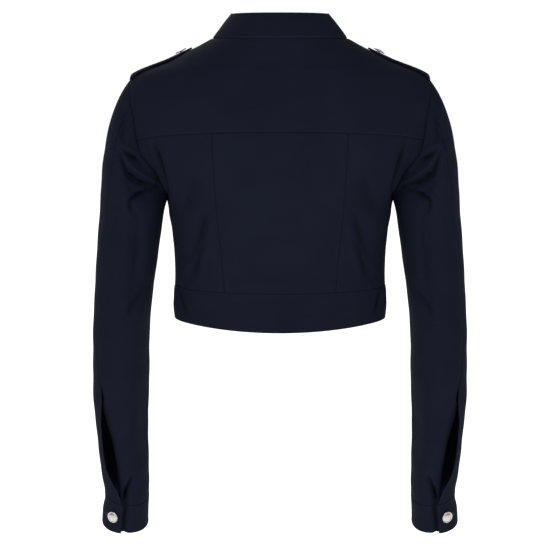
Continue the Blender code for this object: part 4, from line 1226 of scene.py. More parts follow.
@dataclass(frozen=True)
class Stitching:
    """A row of topstitches on the cloth.

    Attributes:
        pitch: The distance from one stitch to the next.
        length: How long a stitch is.
        half_width: Half its width.
        height: How far it stands out of the cloth.
        inset: How far a row lies inside an edge.
    """

    pitch: float = 3.0
    length: float = 2.3
    half_width: float = 0.17
    height: float = 0.17
    inset: float = 1.9

    def along(self, points: Array, normals: Array) -> tuple[Array, Array]:
        """The vertices and faces of one row of stitches.

        The line is walked in even pitches. Each stitch is a hump: four cross sections of three
        points, left foot, crest and right foot, with crest heights of 0, 1, 1 and 0.

        Args:
            points: Points along the line.
            normals: The cloth's normal at each.

        Returns:
            Vertices, and faces that count from the row's first vertex.
        """
        steps = np.linalg.norm(np.diff(points, axis=0), axis=1)
        total = np.concatenate([[0.0], np.cumsum(steps)])
        count = int((total[-1] - self.length) // self.pitch)
        start = (total[-1] - count * self.pitch) / 2
        middles = start + self.pitch * (np.arange(count) + 0.5)
        offsets = self.length * np.array([-0.5, -0.25, 0.25, 0.5])
        at = (middles[:, None] + offsets).ravel()
        place = np.stack([np.interp(at, total, points[:, i]) for i in range(3)], -1)
        out = unit(np.stack([np.interp(at, total, normals[:, i]) for i in range(3)], -1))
        ahead = np.stack([np.interp(at + 0.2, total, points[:, i]) for i in range(3)], -1)
        behind = np.stack([np.interp(at - 0.2, total, points[:, i]) for i in range(3)], -1)
        aside = unit(np.cross(out, ahead - behind))
        crest = np.tile([0.1, 1.0, 1.0, 0.1], count)[:, None] * self.height
        wide = np.tile([0.4, 1.0, 1.0, 0.4], count)[:, None] * self.half_width
        sunk = out * -0.12
        sections = np.stack(
            [place + aside * wide + sunk, place + out * crest, place - aside * wide + sunk], 1
        )
        vertices = sections.reshape(-1, 3)
        base = (np.arange(count) * 12)[:, None, None]
        strip = np.array([
            [3 * k + j, 3 * k + (j + 1) % 3, 3 * k + 3 + (j + 1) % 3, 3 * k + 3 + j]
            for k in range(3) for j in range(3)
        ])
        return vertices, (base + strip[None]).reshape(-1, 4)

    def rows(
        self, name: str, lines: Iterable[tuple[Array, Array]], side: Side, finishes: Finishes
    ) -> bpy.types.Object:
        """Builds several rows as one piece.

        Args:
            name: The piece's name.
            lines: Points and normals of each row, on the left of the jacket.
            side: The half that the piece is for.
            finishes: The jacket's materials.

        Returns:
            The settled piece.
        """
        vertices, faces, count = [], [], 0
        for points, normals in lines:
            row_vertices, row_faces = self.along(points, normals)
            vertices.append(row_vertices)
            faces.append(row_faces + count)
            count += len(row_vertices)
        piece = add_mesh(
            name, np.concatenate(vertices) * np.array([side.value, 1.0, 1.0]),
            np.concatenate(faces), finishes.thread, flip=side is Side.LEFT, sharp_degrees=80.0,
        )
        return settle(piece, Slot.SUITING)


@dataclass(frozen=True)
class Grain:
    """The spacing of the cloth's grid, and the numbers that the panels share."""

    spacing: float = 2.05
    side_rows: int = 7
    ridge_rows: int = 7
    centre_columns: int = 4
    side_columns: int = 6
    upper_turns: tuple[float, ...] = (0.0, 12.0, 24.0, 36.0, 54.0, 72.0, 90.0)
    lower_turns: tuple[float, ...] = (0.0, 15.0, 30.0, 45.0, 60.0, 75.0, 90.0)

    @property
    def yoke_row(self) -> int:
        """The row of the back at which the yoke begins, level with the armhole's back."""
        return self.side_rows + len(self.lower_turns) - 1

    @property
    def shoulder_row(self) -> int:
        """The row at the top of the armhole."""
        return self.side_rows + len(self.lower_turns) + len(self.upper_turns) - 2

    @property
    def last_row(self) -> int:
        """The row at the neck."""
        return self.shoulder_row + self.ridge_rows


@dataclass
class BodyPanels:
    """What the body's panels share: how their grids run over the hollow form."""

    finishes: Finishes
    sleeve: SleeveForm = SleeveForm()
    grain: Grain = Grain()
    wall: ClothWall = ClothWall()
    yoke_z: float = -114.5
    neck_z: float = 0.0
    drop_power: float = 2.2
    princess: Table = Table(
        ("z", "x"),
        (
            (-319.0, 70.5),
            (-265.0, 74.6),
            (-220.0, 78.6),
            (-183.0, 81.7),
            (-152.0, 83.6),
            (-114.5, 84.8),
        ),
    )

    @property
    def body(self) -> BodyForm:
        """The hollow body."""
        return self.sleeve.body

    def armhole_degrees(self, row: Array, front: bool) -> Array:
        """Where round the armhole each row between the underarm and the shoulder meets it."""
        lower, upper = self.grain.lower_turns[::-1], self.grain.upper_turns[1:]
        if front:
            turns = [HALF_TURN + a for a in lower] + [HALF_TURN - a for a in upper]
        else:
            turns = [-a for a in lower] + list(upper)
        return np.interp(row - self.grain.side_rows, np.arange(len(turns)), turns)

    def side_edge(self, row: Array, front: bool) -> tuple[Array, Array]:
        """(turn, z) where each row meets the side, then the armhole, then the shoulder seam."""
        grain, body = self.grain, self.body
        turn, z = body.armhole(self.armhole_degrees(row, front))
        side = body.waist_side + (body.underarm_z - body.waist_side) * row / grain.side_rows
        ridge = (row - grain.shoulder_row) / grain.ridge_rows
        ridge = body.shoulder_z + (self.neck_z - body.shoulder_z) * ridge
        below, above = row < grain.side_rows, row > grain.shoulder_row
        turn = np.where(below | above, QUARTER, turn)
        return turn, np.where(below, side, np.where(above, ridge, z))

    def with_seam_normals(self, normals: Array, row: Array, front: bool) -> Array:
        """Gives the rows that end on the armhole the normal that the sleeve has there too."""
        on_armhole = (row >= self.grain.side_rows) & (row <= self.grain.shoulder_row)
        shared = self.sleeve.seam_normal(self.armhole_degrees(row, front))
        normals[on_armhole, -1] = shared[on_armhole]
        return normals

    def back_grid(self, row: Array, column: Array) -> tuple[Array, Array]:
        """(turn, z) of the back's grid.

        Heights at the centre run evenly to the yoke seam and on to the neck, and each row bends to
        its height at the side by a power of its share of the way. Columns keep the princess seam
        at column 4 and the side at column 10.

        Args:
            row: Rows, from 0 at the waistband to the last at the neck.
            column: Columns, from 0 at the centre.

        Returns:
            Turns and heights, a row for each row and a column for each column.
        """
        grain, body = self.grain, self.body
        edge_turn, edge_z = self.side_edge(row, front=False)
        centre_z = np.interp(
            row, [0, grain.yoke_row, grain.last_row], [body.waist_back, self.yoke_z, self.neck_z]
        )
        seam_row = np.minimum(row, grain.yoke_row)
        seam_z = np.minimum(centre_z, self.yoke_z)
        seam_turn = body.turn_at_x(self.princess.at("x", seam_z), seam_z, front=False)
        seam_edge = self.side_edge(seam_row, front=False)[0]
        seam_share = (seam_turn / seam_edge)[:, None]
        inner = column / grain.centre_columns * seam_share
        outer = seam_share + (1 - seam_share) * (
            (column - grain.centre_columns) / grain.side_columns
        )
        share = np.where(column <= grain.centre_columns, inner, outer)
        weight = share**self.drop_power
        z = centre_z[:, None] * (1 - weight) + edge_z[:, None] * weight
        return share * edge_turn[:, None], z

    def rows_between(self, first: float, last: float) -> Array:
        """Fine rows of the body from one coarse row to another."""
        return fine_steps(first, last, 11.5 * (last - first), self.grain.spacing)


@dataclass
class Back(BodyPanels):
    """The yoke, the centre back and the two side backs."""

    last_column: int = 10
    stitching: Stitching = Stitching()

    def mirrored(self, turn: Array, z: Array) -> tuple[Array, Array]:
        """A half grid and its mirror image as one grid across the centre back."""
        return (
            np.concatenate([-turn[:, :0:-1], turn], axis=1),
            np.concatenate([z[:, :0:-1], z], axis=1),
        )

    def half_columns(self, last: float, length: float) -> Array:
        """Fine columns from the centre, with extra ones only at the outer end."""
        both = fine_steps(-last, last, 2 * length, self.grain.spacing)
        outer = both[both > 1e-6]
        return np.concatenate([[0.0], outer])

    def yoke(self) -> bpy.types.Object:
        """The yoke, in one piece across the shoulders, with its stitches along the seam."""
        grain = self.grain
        row = self.rows_between(grain.yoke_row, grain.last_row)
        column = self.half_columns(self.last_column, 190.0)
        turn, z = self.mirrored(*self.back_grid(row, column))
        points, normals = self.body.cloth(turn, z)
        normals = self.with_seam_normals(normals, row, front=False)
        normals[:, 0] = normals[:, -1] * np.array([-1.0, 1.0, 1.0])
        sheet = Sheet(points, normals, (Edge.SEAM,) * 4).rippled(self.body.ripple)
        piece = self.wall.build("back_yoke_cloth", sheet, Side.LEFT, self.finishes.cloth)
        settle(piece, Slot.SUITING, "back_yoke")
        stitches = self.stitching.rows(
            "back_yoke_stitches", [sheet.line_at(0, self.stitching.inset)], Side.LEFT,
            self.finishes,
        )
        return piece

    def centre(self) -> bpy.types.Object:
        """The centre back, between the princess seams."""
        row = self.rows_between(0, self.grain.yoke_row)
        column = self.half_columns(self.grain.centre_columns, 80.0)
        points, normals = self.body.cloth(*self.mirrored(*self.back_grid(row, column)))
        sheet = Sheet(points, normals, (Edge.SEAM,) * 4).rippled(self.body.ripple)
        piece = self.wall.build("back_centre_cloth", sheet, Side.LEFT, self.finishes.cloth)
        settle(piece, Slot.SUITING, "back_centre")
        return piece

    def side(self, side: Side) -> bpy.types.Object:
        """One side back, from the princess seam to the side seam."""
        row = self.rows_between(0, self.grain.yoke_row)
        column = fine_steps(self.grain.centre_columns, self.last_column, 118.0, self.grain.spacing)
        points, normals = self.body.cloth(*self.back_grid(row, column))
        normals = self.with_seam_normals(normals, row, front=False)
        sheet = Sheet(points, normals, (Edge.SEAM,) * 4).rippled(self.body.ripple)
        name = f"back_side_{side.word}"
        piece = self.wall.build(f"{name}_cloth", sheet, side, self.finishes.cloth)
        settle(piece, Slot.SUITING, name)
        return piece

    def build(self) -> None:
        """Builds the back's four pieces."""
        self.yoke()
        self.centre()
        for side in Side:
            self.side(side)


@dataclass
class Fronts(BodyPanels):
    """The two fronts, buttoned right over left."""

    neck_front_z: float = -60.0
    shoulder_row_z: float = -96.0
    columns: int = 9
    edge_pull: float = 3.0
    lap: float = 15.0
    rise: float = 2.7
    rise_from: float = 26.0
    rise_to: float = 60.0
    stitching: Stitching = Stitching(inset=5.5)
    neckline_table: Table = Table(
        ("share", "x", "z"),
        (
            (0.0, 0.0, -60.0),
            (0.16, 26.0, -57.0),
            (0.305, 46.5, -48.5),
            (0.455, 61.5, -35.0),
            (0.63, 74.0, -18.0),
            (0.8, 82.0, -6.5),
            (1.0, 86.3, 0.0),
        ),
    )

    def neckline(self, share: Array) -> tuple[Array, Array]:
        """(turn, z) on the front neckline, from the centre (0) to the side of the neck (1)."""
        x, z = self.neckline_table.all_at(share)
        turn = self.body.turn_at_x(x, z, front=True)
        turn = np.where(share >= 1.0, QUARTER, turn)
        return np.where(share <= 0.0, math.pi, turn), z

    def grid(self, row: Array, share: Array) -> tuple[Array, Array]:
        """(turn, z) of one front's grid, blended inwards from its four edges.

        Turns and heights are even blends from the waistband to the neckline. To them comes what
        the centre's rows and the side's rows differ by, each times its share of the way.

        Args:
            row: Rows, from 0 at the waistband to the last at the neck.
            share: Columns' shares of the way from the centre to the side.

        Returns:
            Turns and heights.
        """
        grain, body = self.grain, self.body
        edge_turn, edge_z = self.side_edge(row, front=True)
        v = (row / grain.last_row)[:, None]
        u = share[None, :]
        centre_z = np.interp(
            row,
            [0, grain.shoulder_row, grain.last_row],
            [body.waist_front, self.shoulder_row_z, self.neck_front_z],
        )
        neck_turn, neck_z = self.neckline(share)
        even_turn = math.pi - QUARTER * u
        turn = (1 - v) * even_turn + v * neck_turn[None, :]
        turn = turn + u**self.edge_pull * (edge_turn[:, None] - QUARTER)
        z = (1 - v) * body.waist_z(even_turn) + v * neck_z[None, :]
        even_centre = (1 - v) * body.waist_front + v * self.neck_front_z
        even_edge = (1 - v) * body.waist_side + v * self.neck_z
        z = z + (1 - u) * (centre_z[:, None] - even_centre) + u * (edge_z[:, None] - even_edge)
        return turn, z

    def with_lap(self, turn: Array, z: Array) -> tuple[Array, Array]:
        """The same grid with more columns at its start, which run past the centre front."""
        half_width = self.body.sections.at("half_width", z[:, :1])
        past = fine_steps(self.lap, 0.0, self.lap, self.grain.spacing)[None, :-6]
        turns = math.pi + np.arcsin(past / half_width)
        heights = np.repeat(z[:, :1], turns.shape[1], axis=1)
        return np.concatenate([turns, turn], axis=1), np.concatenate([heights, z], axis=1)

    def raised(self, points: Array, normals: Array) -> Array:
        """The lapped piece moved out near its edge, over the one below it."""
        out = self.rise * (1 - ease(points[..., 0], self.rise_from, self.rise_to))
        return points + normals * out[..., None]

    def for_side(self, points: Array, normals: Array, side: Side) -> Array:
        """The points of one side's piece: the right one lies over the left one."""
        return self.raised(points, normals) if side is Side.RIGHT else points

    def shares(self) -> Array:
        """Fine columns from the centre to the side, with extra ones only at the side."""
        return fine_steps(-1.0, 1.0, 2 * 225.0, self.grain.spacing)

    def build(self) -> None:
        """Builds both fronts, with stitches along their opening."""
        row = self.rows_between(0, self.grain.last_row)
        share = self.shares()
        share = np.concatenate([[0.0], share[share > 1e-6]])
        points, normals = self.body.cloth(*self.with_lap(*self.grid(row, share)))
        normals = self.with_seam_normals(normals, row, front=True)
        for side in Side:
            edges = (Edge.SEAM, Edge.SEAM, Edge.FOLDED, Edge.SEAM)
            sheet = Sheet(self.for_side(points, normals, side), normals, edges)
            sheet = sheet.rippled(self.body.ripple)
            name = f"front_{side.word}"
            piece = self.wall.build(f"{name}_cloth", sheet, side, self.finishes.cloth)
            settle(piece, Slot.SUITING, name)
            stitches = self.stitching.rows(
                f"{name}_stitches", [sheet.line_at(2, self.stitching.inset)], side, self.finishes
            )


@dataclass
class Waistband(Fronts):
    """The deep waistband: a back, and two fronts that lap as the fronts above them do."""

    wall: ClothWall = ClothWall(thickness=2.2, seam_depth=0.95)
    stitching: Stitching = Stitching()

    def rows(self, turn: Array, top_z: Array) -> tuple[Array, Array]:
        """The band's grid, from the hem up to the seam at each turn."""
        share = fine_steps(0.0, 1.0, 46.0, self.grain.spacing)[:, None]
        return (
            np.repeat(turn[None, :], len(share), 0),
            self.body.hem_z(turn) * (1 - share) + top_z * share,
        )

    def stitched(self, name: str, sheet: Sheet, side: Side) -> bpy.types.Object:
        """The rows of stitches along the band's top and hem."""
        lines = [sheet.line_at(border, self.stitching.inset) for border in (0, 1)]
        return self.stitching.rows(f"{name}_stitches", lines, side, self.finishes)

    def build(self) -> None:
        """Builds the band's three pieces."""
        back = Back(self.finishes, sleeve=self.sleeve, grain=self.grain)
        column = back.half_columns(back.last_column, 195.0)
        turn, z = back.mirrored(*back.back_grid(np.array([0.0]), column))
        points, normals = self.body.cloth(*self.rows(turn[0], z[0]))
        edges = (Edge.FOLDED, Edge.SEAM, Edge.SEAM, Edge.SEAM)
        sheet = Sheet(points, normals, edges).rippled(self.body.ripple)
        piece = self.wall.build("waistband_back_cloth", sheet, Side.LEFT, self.finishes.cloth)
        settle(piece, Slot.SUITING, "waistband_back")
        self.stitched("waistband_back", sheet, Side.LEFT)
        share = self.shares()
        share = np.concatenate([[0.0], share[share > 1e-6]])
        turn, z = self.grid(np.array([0.0]), share)
        points, normals = self.body.cloth(*self.with_lap(*self.rows(turn[0], z[0])))
        edges = (Edge.FOLDED, Edge.SEAM, Edge.FOLDED, Edge.SEAM)
        for side in Side:
            sheet = Sheet(self.for_side(points, normals, side), normals, edges)
            sheet = sheet.rippled(self.body.ripple)
            name = f"waistband_front_{side.word}"
            piece = self.wall.build(f"{name}_cloth", sheet, side, self.finishes.cloth)
            settle(piece, Slot.SUITING, name)
            self.stitched(name, sheet, side)


@dataclass
class Collar(Fronts):
    """The stand collar, from one front end round the back of the neck to the other."""

    wall: ClothWall = ClothWall(thickness=2.4, seam_depth=1.1, seam_width=2.2)
    stitching: Stitching = Stitching()
    height: float = 40.5
    lean_back: float = 37.0
    lean_side: float = 40.0
    lean_front: float = 17.0
    end_gap: float = 3.0
    corner: float = 11.0
    bow: float = 0.9

    def base(self) -> tuple[Array, Array]:
        """The collar's foot on the neckline: its points and how far each is from the near end."""
        front = self.body.cloth(*self.neckline(np.linspace(0.0, 1.0, 121)))[0]
        back_turn = np.linspace(QUARTER, 0.0, 101)[1:]
        half = np.concatenate([front, self.body.point(back_turn, self.neck_z)])
        steps = np.linalg.norm(np.diff(half, axis=0), axis=1)
        old = np.concatenate([[0.0], np.cumsum(steps)])
        length = old[-1] - self.end_gap
        both = fine_steps(0.0, 2 * length, 2 * length, self.grain.spacing)
        kept = both[both < length - 1.0]
        distance = np.concatenate([kept, [length]])
        at = distance + self.end_gap
        half = np.stack([np.interp(at, old, half[:, i]) for i in range(3)], -1)
        return half, distance

    def build(self) -> None:
        """Builds the collar.

        Up its height the wall leans in by an angle that changes round the neck, and bows out by a
        half sine wave. Its front ends are quarter circles in height.
        """
        half, distance = self.base()
        base = np.concatenate([half, half[-2::-1] * np.array([-1.0, 1.0, 1.0])])
        from_end = np.concatenate([distance, distance[-2::-1]])
        along = np.concatenate([distance, 2 * distance[-1] - distance[-2::-1]])
        flat = np.gradient(base, along, axis=0) * np.array([1.0, 1.0, 0])
        outward = unit(np.cross(flat, np.array([0, 0, 1.0])))
        outward *= np.sign((outward * base).sum(-1, keepdims=True))
        lean = np.radians(np.interp(
            -base[:, 1], (-70.0, 0.0, 80.0), (self.lean_back, self.lean_side, self.lean_front)
        ))[:, None]
        straight_up = np.array([0, 0, 1.0])
        up = np.cos(lean) * straight_up - np.sin(lean) * outward
        normals = np.cos(lean) * outward + np.sin(lean) * straight_up
        inside = np.clip(1 - from_end / self.corner, 0.0, 1.0)
        height = self.height - self.corner * (1 - np.sqrt(np.maximum(1 - inside**2, 0.0)))
        share = fine_steps(0.0, 1.0, self.height, self.grain.spacing)[:, None, None]
        bow = self.bow * np.sin(math.pi * share)
        points = base + up * height[:, None] * share + normals * bow
        edges = (Edge.SEAM, Edge.FOLDED, Edge.FOLDED, Edge.FOLDED)
        sheet = Sheet(points, np.repeat(normals[None], len(share), 0), edges)
        sheet = sheet.rippled(Ripple(0.4, (31.0, 64.0, 23.0)))
        piece = self.wall.build("collar_cloth", sheet, Side.LEFT, self.finishes.cloth)
        settle(piece, Slot.SUITING, "collar")
        lines = [sheet.line_at(border, self.stitching.inset) for border in (0, 1)]
        stitches = self.stitching.rows("collar_stitches", lines, Side.LEFT, self.finishes)


@dataclass
class Sleeves:
    """Both sleeves, each of an upper and an under panel with an open vent above the cuff."""

    finishes: Finishes
    form: SleeveForm = SleeveForm()
    grain: Grain = Grain()
    wall: ClothWall = ClothWall()
    stitching: Stitching = Stitching()
    armhole_back_seam: float = 36.0
    armhole_front_seam: float = 210.0
    front_seam: float = 214.0
    back_seam: Table = Table(
        ("z", "upper_edge", "under_edge"),
        (
            (-602.0, 8.0, 32.0),
            (-594.0, 13.0, 38.0),
            (-584.0, 19.0, 46.0),
            (-574.0, 29.0, 56.0),
            (-565.0, 38.0, 63.0),
            (-554.0, 44.0, 68.0),
            (-530.0, 47.0, 71.0),
            (-499.0, 46.0, 65.0),
            (-475.0, 40.0, 50.0),
            (-461.0, 38.0, 38.0),
            (-440.0, 41.0, 41.0),
            (-420.0, 46.0, 46.0),
            (-380.0, 53.0, 53.0),
            (-340.0, 55.0, 55.0),
            (-299.0, 53.0, 53.0),
            (-263.0, 48.0, 48.0),
            (-240.0, 43.0, 43.0),
        ),
    )
    cap_seam: Table = Table(
        ("station", "turn"),
        (
            (0.0, 36.0),
            (0.14, 31.0),
            (0.3, 30.5),
            (0.45, 33.5),
            (0.6, 35.5),
            (0.8, 38.5),
            (1.0, 43.0),
        ),
    )

    def stations(self) -> Array:
        """Fine stations, from the armhole to the cuff's seam."""
        arm = self.form.ring_z - self.form.cuff_seam
        cap = fine_steps(0.0, 2.0, 340.0, self.grain.spacing)
        down = fine_steps(-arm, arm, 2 * arm, self.grain.spacing)
        return np.concatenate([cap[cap <= 1.0], 1 + down[down > 1.0]])

    def edges(self, station: Array) -> tuple[Array, Array, Array]:
        """(upper panel's back edge, front seam, under panel's back edge), in degrees."""
        z = self.form.height(station)
        upper, under = self.back_seam.all_at(z)
        cap = self.cap_seam.at("turn", np.minimum(station, 1.0))
        upper = np.where(station < 1.0, cap, upper)
        under = np.where(station < 1.0, cap, under)
        drift = (self.front_seam - self.armhole_front_seam) * ease(station, 0.0, 1.0)
        return upper, self.armhole_front_seam + drift, under + FULL_TURN

    def spread(self, at_armhole: list[float], start: Array, end: Array, station: Array) -> Array:
        """Turns of a panel's columns: the armhole's own at the top, and even ones further down."""
        knots = np.array(at_armhole)
        knots = (knots - knots[0]) / (knots[-1] - knots[0])
        even = fine_steps(0.0, 1.0, 150.0, self.grain.spacing)
        first = np.interp(even, np.linspace(0, 1, len(knots)), knots)
        first = even + (first - even) * 0.0 if len(knots) < 3 else first
        settled = ease(station, 0.0, 1.0)[:, None]
        share = first * (1 - settled) + even * settled
        return start[:, None] + (end - start)[:, None] * share

    def columns_at_armhole(self) -> tuple[list[float], list[float]]:
        """Where round the armhole the upper and the under panel's coarse columns start."""
        upper, lower = self.grain.upper_turns, self.grain.lower_turns
        seam = self.armhole_front_seam - HALF_TURN
        above = [a for a in upper if a >= self.armhole_back_seam]
        above += [HALF_TURN - a for a in upper[-2::-1]]
        above += [HALF_TURN + a for a in lower if 0 < a <= seam]
        below = [HALF_TURN + a for a in lower if a >= seam]
        below += [FULL_TURN - a for a in lower[-2::-1]]
        below += [FULL_TURN + a for a in upper if 0 < a <= self.armhole_back_seam]
        return above, below

    def panel(self, columns: list[float], start: Array, end: Array) -> Sheet:
        """One panel's sheet. Down the arm its rows bend to the cuff's slanted seam."""
        station = self.stations()
        turns = self.spread(columns, start, end, station)
        down_arm = np.maximum(station[:, None] - 1, 0)
        down_arm = down_arm / (self.form.ring_z - self.form.cuff_seam)
        bent = station[:, None] + down_arm**2 * (self.form.cuff_seam - self.form.cuff_seam_z(turns))
        # Painted shade on the vent's under layer, which the finish darkens the colour by.
        shade = self.form.vent_shade(turns, bent)
        sheet = Sheet(*self.form.cloth(turns, bent), (Edge.SEAM,) * 4, shade)
        return sheet.rippled(self.form.ripple)

    def vent_line(self, sheet: Sheet) -> tuple[Array, Array]:
        """The stitches along the upper panel's edge beside the vent."""
        points, normals = sheet.line_at(2, self.stitching.inset)
        beside_vent = points[:, 2] < self.back_seam.rows[9][0]
        return points[beside_vent], normals[beside_vent]

    def build(self) -> None:
        """Builds the four panels."""
        upper, front, under = self.edges(self.stations())
        above, below = self.columns_at_armhole()
        upper_sheet = self.panel(above, upper, front)
        under_sheet = self.panel(below, front, under)
        for side in Side:
            name = f"sleeve_upper_{side.word}"
            piece = self.wall.build(f"{name}_cloth", upper_sheet, side, self.finishes.cloth)
            settle(piece, Slot.SUITING, name)
            stitches = self.stitching.rows(
                f"{name}_stitches", [self.vent_line(upper_sheet)], side, self.finishes
            )
            name = f"sleeve_under_{side.word}"
            piece = self.wall.build(f"{name}_cloth", under_sheet, side, self.finishes.cloth)
            settle(piece, Slot.SUITING, name)


@dataclass(frozen=True)
class DomedButton:
    """A turned metal button with a raised rim round a low dome, on its shank.

    Attributes:
        profile: (radius, height) from the foot of the shank to the top of the dome.
        segments: How many steps go round it.
    """

    profile: tuple[tuple[float, float], ...] = (
        (0.0, 0.35), (2.0, 0.35), (2.3, 0.5), (2.3, 0.9), (6.2, 0.95), (7.0, 1.05), (7.5, 1.3),
        (7.7, 1.65), (7.68, 1.95), (7.5, 2.25), (7.15, 2.42), (6.75, 2.42), (6.4, 2.25),
        (6.2, 2.05), (5.95, 2.02), (5.6, 2.15), (4.9, 2.52), (4.0, 2.86), (3.0, 3.12),
        (2.0, 3.28), (1.0, 3.37), (0.35, 3.39),
    )
    segments: int = 64

    def build(self, name: str, seat: Array, facing: Array, side: Side, finishes: Finishes) -> None:
        """Turns the profile round the button's axis and sets it on the cloth.

        Each point is seat + facing x height + radius x (cos, sin) across the axis.

        Args:
            name: The button's node.
            seat: The point of the cloth below it, on the left of the jacket.
            facing: The cloth's normal there.
            side: The half that the button is for.
            finishes: The jacket's materials.
        """
        mirror = np.array([side.value, 1.0, 1.0])
        seat, axis = seat * mirror, unit(facing * mirror)
        aside = unit(np.cross(np.array([0, 0, 1.0]), axis))
        up = np.cross(axis, aside)
        rings = np.array(self.profile[1:])
        angle = np.linspace(0, 2 * math.pi, self.segments, endpoint=False)
        round_it = np.cos(angle)[:, None] * aside + np.sin(angle)[:, None] * up
        vertices = seat + axis * rings[:, None, 1:] + round_it[None] * rings[:, None, :1]
        count = self.segments
        index = np.arange(len(rings) * count).reshape(len(rings), count)
        ahead = np.roll(index, -1, axis=1)
        faces = np.stack([index[:-1], ahead[:-1], ahead[1:], index[1:]], -1).reshape(-1, 4)
        ends = np.stack([
            seat + axis * self.profile[0][1], seat + axis * (self.profile[-1][1] + 0.002),
        ])
        low = len(rings) * count
        caps = []
        for ring, middle, forward in ((index[0], low, False), (index[-1], low + 1, True)):
            pair = ring.reshape(-1, 2)
            third = np.roll(ring, -2).reshape(-1, 2)[:, 0]
            cap = np.stack([pair[:, 0], pair[:, 1], third, np.full(len(pair), middle)], -1)
            caps.append(cap if forward else cap[:, ::-1])
        piece = add_mesh(
            f"{name}_metal", np.concatenate([vertices.reshape(-1, 3), ends]),
            np.concatenate([faces, *caps]), finishes.metal, sharp_degrees=75.0,
        )
        settle(piece, Slot.METAL, name)


@dataclass(frozen=True)
class Buttonhole:
    """A worked buttonhole: close bars of thread round a slit.

    Attributes:
        length: How long the slit is.
        bar: How long each bar of thread is, across the slit's edge.
        pitch: The distance from one bar to the next.
        start: How far past the button's post the slit begins.
    """

    length: float = 16.5
    bar: float = 1.5
    pitch: float = 0.55
    start: float = -2.0

    def line(self, place: Form, across: Array, up: Array) -> tuple[Array, Array]:
        """A closed loop round the slit, as (points, normals) of bars laid across it.

        Args:
            place: Gives the cloth's point at a distance along and a distance across the slit.
            across: Distances along the slit.
            up: Distances across it.

        Returns:
            The points and the step of the loop at each.
        """
        points = place(across, up)
        return points, unit(np.roll(points, -1, axis=0) - np.roll(points, 1, axis=0))

    def build(
        self, name: str, surface: Callable[[Array, Array], tuple[Array, Array]], side: Side,
        finishes: Finishes,
    ) -> bpy.types.Object:
        """Builds the bars.

        They stand round a slot, two straight sides and two half circles, and each is a hump from
        the slit's edge outwards.

        Args:
            name: The piece's name.
            surface: Gives (points, normals) of the cloth at distances along and across the slit,
                from the button's post.
            side: The half that the piece is for.
            finishes: The jacket's materials.

        Returns:
            The settled piece.
        """
        edge = 0.22
        straight = np.arange(0.0, self.length, self.pitch)
        turn = np.linspace(-QUARTER, QUARTER, 7)[1:-1]
        rows = [
            (straight, np.full_like(straight, edge), np.zeros_like(straight), 1.0),
            (straight, np.full_like(straight, -edge), np.zeros_like(straight), -1.0),
        ]
        starts, ways = [], []
        for x, y, _, sign in rows:
            starts.append(np.stack([x, y], -1))
            ways.append(np.stack([np.zeros_like(x), np.full_like(x, sign)], -1))
        for at, sign in ((0.0, -1.0), (self.length, 1.0)):
            ways.append(np.stack([sign * np.cos(turn), np.sin(turn)], -1))
            starts.append(np.array([at, 0.0]) + edge * ways[-1])
        starts, ways = np.concatenate(starts), np.concatenate(ways)
        starts = starts + np.array([self.start, 0.0])
        count = len(starts)
        along = np.array([0.0, 0.3, 0.7, 1.0]) * self.bar
        crest = np.array([0.02, 0.3, 0.3, 0.02])
        wide = 0.24
        aside = np.stack([-ways[:, 1], ways[:, 0]], -1)
        middle = starts[:, None] + ways[:, None] * along[None, :, None]
        left = middle + aside[:, None] * wide
        right = middle - aside[:, None] * wide
        flat = np.stack([left, middle, right], 2).reshape(-1, 2)
        points, normals = surface(flat[:, 0], flat[:, 1])
        rise = np.stack([np.full(4, -0.1), crest, np.full(4, -0.1)], -1).ravel()
        vertices = points + normals * np.tile(rise, count)[:, None]
        strip = np.array([
            [3 * k + j, 3 * k + (j + 1) % 3, 3 * k + 3 + (j + 1) % 3, 3 * k + 3 + j]
            for k in range(3) for j in range(3)
        ])
        faces = ((np.arange(count) * 12)[:, None, None] + strip[None]).reshape(-1, 4)
        piece = add_mesh(
            name, vertices * np.array([side.value, 1.0, 1.0]), faces, finishes.thread,
            flip=side is Side.LEFT, sharp_degrees=80.0,
        )
        return settle(piece, Slot.SUITING)


